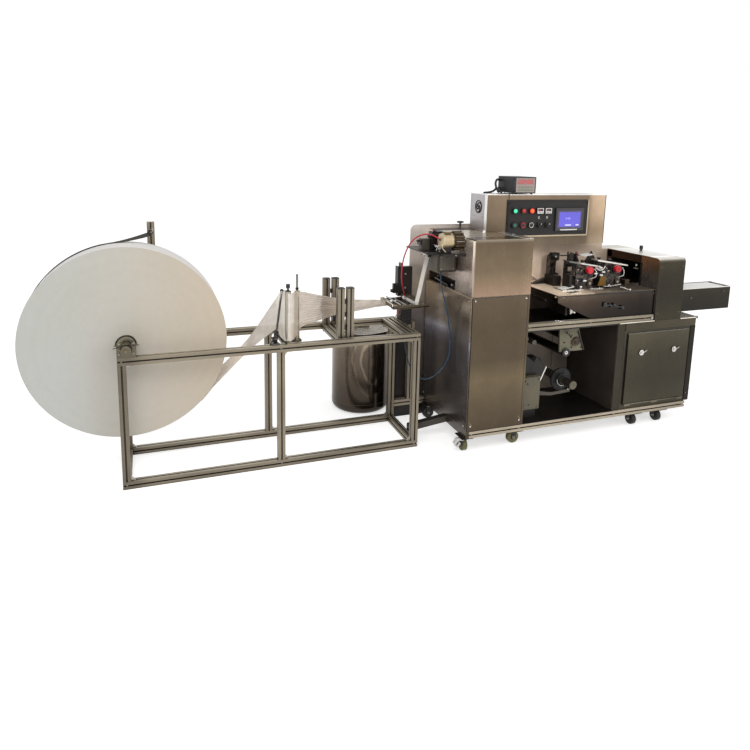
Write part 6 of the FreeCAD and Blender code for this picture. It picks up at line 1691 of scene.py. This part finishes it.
# Table, apron and sealing heads
def table_fittings():
    """The table's lip, the lever on the apron, brackets below and former plates on top."""
    kit = Kit("table_fittings", slot="stainless")
    kit.rod((2440, -150, 905), (2500, -164, 899), 8, OLIVE_METAL, 1)
    kit.rod((2444, -60, 866), (2448, 200, 866), 16, BLACK_STEEL, 1)
    # The lip is painted lit on the left and shaded on the right
    kit.block((2452, -166.6, 914), (2720, -160, 917), metal("lit_lip_steel", tone(206, 184, 156), 0.25), 0.8)
    kit.block((2720, -166.6, 914), (3190, -160, 917), OLD_STEEL, 0.8)
    kit.bolts([(x, -165, 893) for x in (2470, 2800, 3176)], FRONT, 8, OLD_STEEL)
    # lever on the apron: pivot, bent arm and black grips
    kit.rod((2797, -165, 838), (2797, -174, 838), 24, DARK_BRASS, 2)
    kit.wire(smooth_path([(2797, -172, 838), (2840, -174, 836), (2880, -174, 828), (2925, -174, 818)]), 9,
             BLACK_PLASTIC, BACK)
    kit.ball((2930, -174, 816), 27, BLACK_PLASTIC)
    kit.ball((2868, -174, 836), 24, BLACK_PLASTIC)
    kit.block((2786, -176, 828), (2812, -170, 856), BLACK_PLASTIC, 3)
    kit.rod((2830, -173, 846), (2850, -173, 822), 12, BLACK_PLASTIC, 2)
    # brackets under the table's left end
    kit.slab([(2556, -150, 856), (2586, -150, 876), (2580, -150, 800), (2562, -150, 790)], (0, 14, 0),
             BOLT, 1.5)
    kit.rod((2570, -156, 862), (2570, -140, 862), 20, BRIGHT, 2)
    kit.rod((2600, -140, 800), (2600, 40, 800), 16, BRIGHT, 1)
    kit.block((2540, -130, 780), (2556, 20, 852), BLACK_STEEL, 2)
    kit.rod((2576, -152, 824), (2576, -140, 824), 12, BOLT, 1)
    # lever that lies over the table on the right
    kit.wire(smooth_path([(2948, -120, 936), (2970, -130, 930), (2990, -146, 922), (3000, -150, 921)]), 7,
             BRIGHT, BACK)
    kit.ball((3003, -150, 921), 13, WHITE_PLASTIC)
    kit.wire(smooth_path([(2860, -70, 934), (2900, -92, 938), (2940, -104, 946), (2966, -108, 950)]), 6,
             BRIGHT, BACK)
    # former plates that lie on the table before the heads
    kit.slab([(2560, 40, 915.4), (2720, 40, 915.4), (2740, -20, 915.4), (2720, -60, 915.4),
              (2560, -60, 915.4)], (0, 0, 4), BRIGHT, 1)
    kit.slab([(2580, 20, 919), (2680, 20, 935), (2680, -40, 935), (2580, -40, 919)], (0, 0, 3),
             WHITE_PLASTIC, 0.8)
    kit.slab([(2770, 40, 915.4), (2860, 40, 915.4), (2870, -60, 915.4), (2770, -60, 915.4)], (0, 0, 5),
             BRIGHT, 1)
    kit.slab([(2560, -96, 915.4), (2640, -80, 915.4), (2650, -120, 915.4), (2570, -140, 915.4)], (0, 0, 4),
             BRIGHT, 1)
    kit.bolts([(x, -50, 919) for x in (2590, 2700, 2790, 2850, 3050)], UP, 11, BRIGHT)
    kit.done()


def sealing_fittings():
    """What crowds the sealing heads: springs, screws, slide rods, film guides and wires."""
    kit = Kit("sealing_fittings", slot="dark_steel")
    for x in (2665, 2880):
        front = -45
        slope = -22 / 130
        for dx in (22, 108):
            z = 915 + 150 + slope * dx
            coils, radius, tall = 7, 8, 24
            path = []
            for step in range(90):
                share = step / 89
                angle = 2 * math.pi * coils * share
                path.append((x + dx + radius * math.cos(angle), 40 + radius * math.sin(angle),
                             z + 8 + tall * share))
            kit.wire(path, 2.4, KNOB_DARK, UP, 8)
            kit.rod((x + dx, 40, z + 4), (x + dx, 40, z + 40), 9, BLACK_STEEL)
            kit.turned((x + dx, 40, z + 32), (x + dx, 40, z + 38), [(0, 12), (1, 13), (8, 13), (9, 11)],
                       BLACK_STEEL, 6)
        for dz in (18, 60, 130):
            for dx in (14, 116):
                kit.bolt((x + dx, front, 915 + dz - (10 if dz > 100 and dx > 100 else 0)), FRONT, 10)
        kit.block((x + 6, front - 9, 923), (x + 60, front, 950), BLACK_STEEL, 2)
        kit.rod((x + 30, front - 9, 936), (x + 30, front - 22, 936), 16, BRIGHT, 1)
        kit.block((x + 84, front - 10, 936), (x + 122, front, 972), DARK_BRASS, 2)
        kit.rod((x + 100, front - 10, 954), (x + 100, front - 16, 954), 18, BOLT, 1)
        kit.turned((x + 65, front - 1, 1030), (x + 65, front - 2, 1030), [(0, 22), (5, 22), (6, 20), (6, 12),
                                                                          (1, 11)], BLACK_STEEL, 32)
        bent = [(x + 90, front - 6, 980), (x + 104, front - 26, 990), (x + 128, front - 30, 1000),
                (x + 140, front - 18, 1024), (x + 134, front - 6, 1046)]
        kit.wire(smooth_path(bent), 5, BRIGHT, BACK)
        # red knobs: a raised lip and a dished middle
        knob = x + 78
        kit.hoop((knob, -74, 1043), BACK, 21.6, 2.4, RED_PLASTIC, steps=48)
        kit.turned((knob, -86.6, 1043), (knob, -88, 1043),
                   [(0, 17), (1.4, 16), (2, 11), (1, 10), (1, 4), (3, 3.4)], RED_PLASTIC, 28)
        kit.rod((x - 20, 30, 966), (x + 150, 30, 966), 14, STEEL_ROD, 1)
        kit.rod((x - 30, -8, 1002), (x + 150, -8, 994), 9, BOLT, 1)
        kit.block((x - 34, -30, 930), (x - 14, 40, 1010), BLACK_STEEL, 2)
    # plate between the heads with an apex, and the black wedges behind
    kit.slab([(2806, 60, 1070), (2858, 60, 1142), (2892, 60, 1088), (2870, 60, 1040)], (0, 8, 0),
             BLACK_STEEL, 1)
    kit.slab([(2778, 30, 1112), (2850, 30, 1120), (2852, 90, 1122), (2780, 90, 1114)], (0, 0, 3),
             WHITE_PLASTIC, 0.6)
    kit.slab([(2694, 88, 1070), (2790, 88, 1070), (2760, 88, 1120), (2720, 88, 1134)], (0, 8, 0),
             BLACK_STEEL, 1)
    kit.ball((2757, 79, 1126), 18, MAROON, (1, 1, 1.5))
    kit.turned((2757, 79, 1064), (2757, 79, 1066), [(0, 8), (40, 8), (52, 6)], BLACK_STEEL, 20)
    # amber guide and white clips low between the heads
    kit.slab([(2826, -60, 936), (2890, -60, 930), (2884, -60, 992), (2846, -60, 1000)], (0, 6, 0),
             DIM_AMBER, 1.5)
    for x, z in ((2828, 1048), (2852, 1020), (2836, 1000), (2792, 1012), (2712, 970)):
        kit.block((x, -66, z), (x + 20, -56, z + 9), WHITE_PLASTIC, 1.5)
    kit.wire(smooth_path([(2812, -50, 1050), (2836, -58, 1036), (2862, -58, 1044), (2880, -50, 1058)]), 6,
             WHITE_PLASTIC, BACK)
    # heater arm: round boss at the top, screws, the thin rod's end
    kit.rod((2680, 198, 1090), (2680, 192, 1090), 42, BLACK_STEEL, 2)
    kit.rod((2664, 198, 960), (2664, 192, 960), 34, BLACK_STEEL, 2)
    kit.bolt((2680, 192, 1090), FRONT, 14)
    kit.turned((2930, 220, 1090), (2936, 220, 1090), [(0, 9), (8, 9), (9, 7)], BOLT, 20)
    kit.slab([(2500, 180, 915.5), (2640, 180, 915.5), (2640, 180, 960), (2600, 180, 952)], (0, 30, 0),
             BLACK_STEEL, 1)
    for x in (2710, 2760, 2940):
        kit.rod((x, 100, 915), (x, 100, 1000), 14, BLACK_STEEL, 1)
        kit.block((x - 14, 84, 990), (x + 14, 116, 1010), BLACK_STEEL, 2)
    kit.block((2600, 90, 915.4), (2660, 190, 980), BLACK_STEEL, 3)
    kit.block((3020, 20, 915.4), (3080, 110, 990), BLACK_STEEL, 3)
    kit.block((3030, -70, 930), (3066, -30, 968), DARK_BRASS, 3)
    kit.done()


for make in (table_fittings, sealing_fittings):
    make()


# Discharge hood, conveyor and cabinet
def hood_fittings():
    """The discharge hood's opening framed by a painted reflection, its top and right edge painted bright as
    highlights, the pin and the rollers inside.
    """
    kit = Kit("hood_fittings", slot="stainless")
    brown = metal("brown_reflection", tone(78, 58, 46), 0.2, "y", 0.4)
    x = 3192
    kit.block((x - 4, 250, 916), (x + 1, 300, 1108), brown, 1)
    kit.block((x - 4, -24, 1064), (x + 1, 292, 1112), brown, 1)
    kit.block((x - 4, -34, 916), (x + 1, -22, 1066), BLACK_STEEL, 1)
    kit.bolt((x - 4, 10, 1044), LEFT, 16, BRIGHT)
    kit.block((x - 12, -6, 1020), (x - 2, 30, 1026), BRIGHT, 1)
    # pin on top
    kit.turned((3345, 150, 1114.6), (3345, 150, 1116), [(0, 12), (3, 12), (4, 7), (10, 7), (11, 12), (34, 12),
                                                        (36, 10), (36, 5), (33, 4.4)], BLACK_PLASTIC, 28)
    # Painted highlights on the hood's top and its right edge
    kit.block((x, -100, 1113.6), (3405, 292, 1116.4), metal("hood_top_highlight", tone(244, 242, 236), 0.3), 0.8)
    kit.block((3400, -176, 1088), (3406.4, 290, 1113), metal("hood_edge_highlight", tone(206, 202, 190), 0.3, "y"), 0.8)
    kit.bolts([(x, -180, z) for z in (760, 1060) for x in (3212, 3388)], FRONT, 7, OLIVE_METAL, 0.3)
    for number in range(5):
        kit.rod((3230 + number * 34, -10, 900), (3230 + number * 34, 240, 900), 24, STEEL_ROD, 1)
    kit.done()


def conveyor_fittings():
    """Bolts, edge strips painted bright as highlights on the side plates' top edges, and the end plate of the
    conveyor.
    """
    kit = Kit("conveyor_fittings", slot="stainless")
    for y, way in ((-95, -1), (75, 1)):
        for x, z in ((3574, 822), (3470, 800)):
            kit.bolt((x, y, z), (0, way, 0), 13, OLD_STEEL, 0.3)
        kit.slab([(3838, y, 858), (3866, y, 864), (3876, y, 858), (3848, y, 850)], (0, way * 2, 0),
                 BLACK_STEEL, 0.4)
        kit.bolt((3855, y + way * 2, 856), (0, way, 0), 9, OLD_STEEL, 0.3)
        low = y - (1.5 if way < 0 else 0)
        kit.block((3405.5, low, 883.5), (3920, low + 1.5, 889), BRIGHT, 0.4)
    kit.block((3914, -95, 736), (3920, 75, 884), BLACK_STEEL, 1)
    kit.block((3916, -94, 880), (3920, 74, 889.5), BRIGHT, 1)
    kit.done()


def cabinet_fittings():
    """The cabinet's post, shadow gaps, bands, top painted bright as lit, latches' turns and the door's lower
    rod.
    """
    kit = Kit("cabinet_fittings", slot="stainless")
    post = metal("post_steel", tone(56, 52, 43), 0.28, "z", 0.2)
    kit.block((2918, -171.4, 139), (2972, -167.6, 714), post, 1)
    kit.block((2974, -169.6, 139), (2978, -167.6, 714), BLACK_STEEL, 0.5)
    kit.block((2994, -169.4, 170), (3501, -167.4, 646), BLACK_STEEL, 0.6)
    kit.block((2986, -170, 651), (3509, -168, 653.5), BLACK_STEEL, 0.5)
    kit.block((2978, -172.6, 658), (3552, -168.2, 712), metal("band_steel", tone(73, 67, 55), 0.28, "x"), 0.8)
    kit.block((3514, -171.4, 139), (3555, -167.6, 656), metal("dark_margin", tone(40, 36, 30), 0.3, "z"), 0.8)
    # Painted light on the cabinet's top and its front edge
    lit_top = metal("lit_cabinet_top", tone(232, 226, 212), 0.28, "x")
    kit.block((3406, -184, 712), (3557, 438, 717), lit_top, 1)
    kit.block((2918, -184, 712), (3191, -180.4, 717), lit_top, 1)
    kit.turned((3549, -178, 706), (3549, -178, 708), [(0, 6), (1, 8), (13, 8), (15, 6)], BLACK_PLASTIC, 20)
    kit.rod((3004, -183, 170), (3492, -183, 170), 7, OLD_STEEL, 1)
    for x in (3030, 3250, 3466):
        kit.block((x - 24, -184, 158), (x + 24, -180, 174), OLD_STEEL, 1)
    for x in (3108.9, 3376.2):
        z = 510.8
        kit.turned((x, -184, z), (x, -186, z), [(0, 19), (2, 19), (3.4, 17), (4, 14), (1.8, 11)], BRIGHT, 36)
        kit.slab([(x + 12, -187.4, z + 3), (x + 40, -187.4, z + 16), (x + 42, -187.4, z + 10),
                  (x + 15, -187.4, z - 5)], (0, 2.4, 0), BOLT, 0.6)
    kit.bolts([(3530, -168, z) for z in (190, 680)], FRONT, 8)
    kit.block((3553.6, -160, 145), (3556.4, 430, 706), metal("cabinet_side", tone(60, 56, 46), 0.3, "z"), 1)
    kit.done()


# Film bay
def bay_fittings():
    """The film bay: what turns on the spindle, the box, the bracket, and dim discs and rods behind."""
    x, z = 2606, 340.1
    turning = Kit("spindle_fittings", "film_spindle", "dark_steel")
    turning.hoop((x, -51, z), BACK, 71, 4, BLACK_STEEL, steps=60)
    for number in range(6):
        angle = math.radians(60 * number + 15)
        turning.bolt((x + 56 * math.cos(angle), -50, z + 56 * math.sin(angle)), FRONT, 9, BLACK_STEEL)
    turning.turned((x, -169.6, z), (x, -172, z), [(0, 25), (1.6, 25), (2.6, 23), (2.6, 9), (0.6, 8)],
                   BAY_GREY, 36)
    # Painted highlight: a bright arc on the spindle's flange
    turning.hoop((x, -64.6, z), BACK, 40, 4, BRIGHT, 60, 230, 24)
    turning.done()
    kit = Kit("bay_fittings", slot="dark_steel")
    # box: cover plate, screws
    kit.block((2264, -123, 200), (2398, -119.6, 400), BAY_GREY, 1.2)
    screws = ((28, 182), (46, 164), (122, 190), (14, 12), (120, 12), (60, 30))
    kit.bolts([(2264 + dx, -123, 200 + dz) for dx, dz in screws], FRONT, 10, GREY_PAINT)
    # slanted plate over the box, its edge painted bright as a highlight
    kit.slab([(2330, -86, 404), (2386, -86, 520), (2460, -86, 448), (2404, -86, 332)], (0, 5, 0),
             BAY_PLATE, 1)
    kit.slab([(2460, -87, 452), (2466, -87, 446), (2412, -87, 330), (2404, -87, 332)], (0, 7, 0), BRIGHT, 1)
    # bracket: bosses, slot, screws and the dark rod down its right edge
    kit.rod((2646, -100, 596), (2646, -112, 596), 46, DARK_BRASS, 2)
    kit.rod((2646, -112, 596), (2646, -116, 596), 24, BLACK_STEEL, 1)
    kit.turned((2583, -110, 535), (2583, -113, 535), [(0, 27), (2, 27), (3, 25), (3, 13), (1, 12)],
               BLACK_PLASTIC, 36)
    kit.turned((2583, -110.6, 535), (2583, -113, 535), [(0, 12), (2.4, 12), (3.4, 11), (3.4, 7), (1, 6)],
               BRIGHT, 30)
    kit.rod((2583, -110.4, 535), (2583, -112.4, 535), 10, BLACK_PLASTIC, 0.6)
    kit.slab([(2664, -102, 668), (2672, -102, 668), (2724, -102, 540), (2714, -102, 540)], (0, -6, 0),
             BLACK_STEEL, 1)
    screws = ((56, 120), (74, 108), (40, 60), (20, 150), (96, 26), (170, 20))
    kit.bolts([(2531 + dx, -100, 538 + dz) for dx, dz in screws], FRONT, 10, BLACK_STEEL)
    kit.slab([(2606, -101, 640), (2632, -101, 640), (2619, -101, 620)], FRONT, BLACK_STEEL, 0.3)
    kit.block((2560, -100, 660), (2600, -92, 706), BRACKET_PAINT, 2)
    # arm: bolts
    kit.bolts(((2412, -38, 250), (2670, -38, 262)), FRONT, 12)
    kit.done()
    # dim hardware deep in the bay
    deep = Kit("bay_depth", slot="dark_steel")
    for y, reach in ((288, 150), (282, 118)):
        deep.turned((2440, y + 10, 560), (2440, y, 560), [(0, reach), (4, reach), (6, reach - 3), (6, 30)],
                    painted(f"bay_disc_{reach}", tone(112, 103, 96), 0.3, 0.3, 0.2), 56)
    for number in range(3):
        deep.rod((2290 + 60 * number, -20, 640 - 26 * number), (2290 + 60 * number, 300, 640 - 26 * number),
                 34, painted(f"bay_rod_{number}", tone(96, 90, 83), 0.3, 0.3, 0.2), 2, 28)
    deep.block((2780, 292, 200), (2900, 299.6, 700), BAY_WALL, 2)
    deep.done()


for make in (hood_fittings, conveyor_fittings, cabinet_fittings, bay_fittings):
    make()


# Floor, backdrop and light
FLOOR_SIZE = 60
FLOOR_COLOUR = 0.93
SEEN_FLOOR = 0.6
WORLD_LIGHT = 0.5


def seen_directly(tree):
    """1 for rays from the camera, through glass or off something shiny, else 0."""
    paths = tree.nodes.new("ShaderNodeLightPath")
    result = paths.outputs["Is Camera Ray"]
    for kind in ("Is Glossy Ray", "Is Transmission Ray"):
        either = tree.nodes.new("ShaderNodeMath")
        either.operation = "MAXIMUM"
        tree.links.new(result, either.inputs[0])
        tree.links.new(paths.outputs[kind], either.inputs[1])
        result = either.outputs[0]
    return result


def make_stage():
    """A pale floor that keeps the shadow, under a white surround."""
    mesh = bpy.data.meshes.new("floor")
    half = FLOOR_SIZE / 2
    level = -0.0005
    mesh.from_pydata([(-half, -half, level), (half, -half, level), (half, half, level), (-half, half, level)],
                     [], [(0, 1, 2, 3)])
    floor = bpy.data.objects.new("floor", mesh)
    bpy.context.scene.collection.objects.link(floor)
    finish = Finish("floor")
    seen = finish.sum("MULTIPLY", seen_directly(finish.tree), SEEN_FLOOR)
    finish.set(Base_Color=(FLOOR_COLOUR, FLOOR_COLOUR, FLOOR_COLOUR, 1), Roughness=0.9,
               Emission_Color=(1, 1, 1, 1), Emission_Strength=seen)
    floor.data.materials.append(finish.material)

    world = bpy.data.worlds.new("surround")
    bpy.context.scene.world = world
    world.use_nodes = True
    tree = world.node_tree
    background = tree.nodes["Background"]
    strength = tree.nodes.new("ShaderNodeMapRange")
    strength.inputs["To Min"].default_value = WORLD_LIGHT
    strength.inputs["To Max"].default_value = 1
    tree.links.new(seen_directly(tree), strength.inputs["Value"])
    tree.links.new(strength.outputs["Result"], background.inputs["Strength"])
    background.inputs["Color"].default_value = (1, 1, 1, 1)


def make_lamp(name, kind, place, target, power, **settings):
    """A lamp at a place, aimed at its target."""
    data = bpy.data.lights.new(name, kind)
    data.energy = power
    for key, value in settings.items():
        setattr(data, key, value)
    lamp = bpy.data.objects.new(name, data)
    lamp.location = place
    lamp.rotation_euler = (target - lamp.location).to_track_quat("-Z", "Y").to_euler()
    bpy.context.scene.collection.objects.link(lamp)


make_stage()
centre = (Vector(cad_box[0]) + Vector(cad_box[1])) / 2
make_lamp("key_lamp", "AREA", centre + Vector((-2.5, -4, 5)), centre, 130, shape="DISK", size=4)
make_lamp("fill_lamp", "AREA", centre + Vector((4.5, -4.5, 2.5)), centre, 70, shape="DISK", size=4)
# The workshop lamp over the wrapper brightens the table and the wall behind it
make_lamp("table_lamp", "SPOT", spot(2560, -1350, 1900), spot(2600, 60, 990), 55,
          spot_size=math.radians(30), spot_blend=1, shadow_soft_size=0.25)
bpy.context.scene.view_settings.view_transform = "Standard"

bpy.context.view_layer.update()
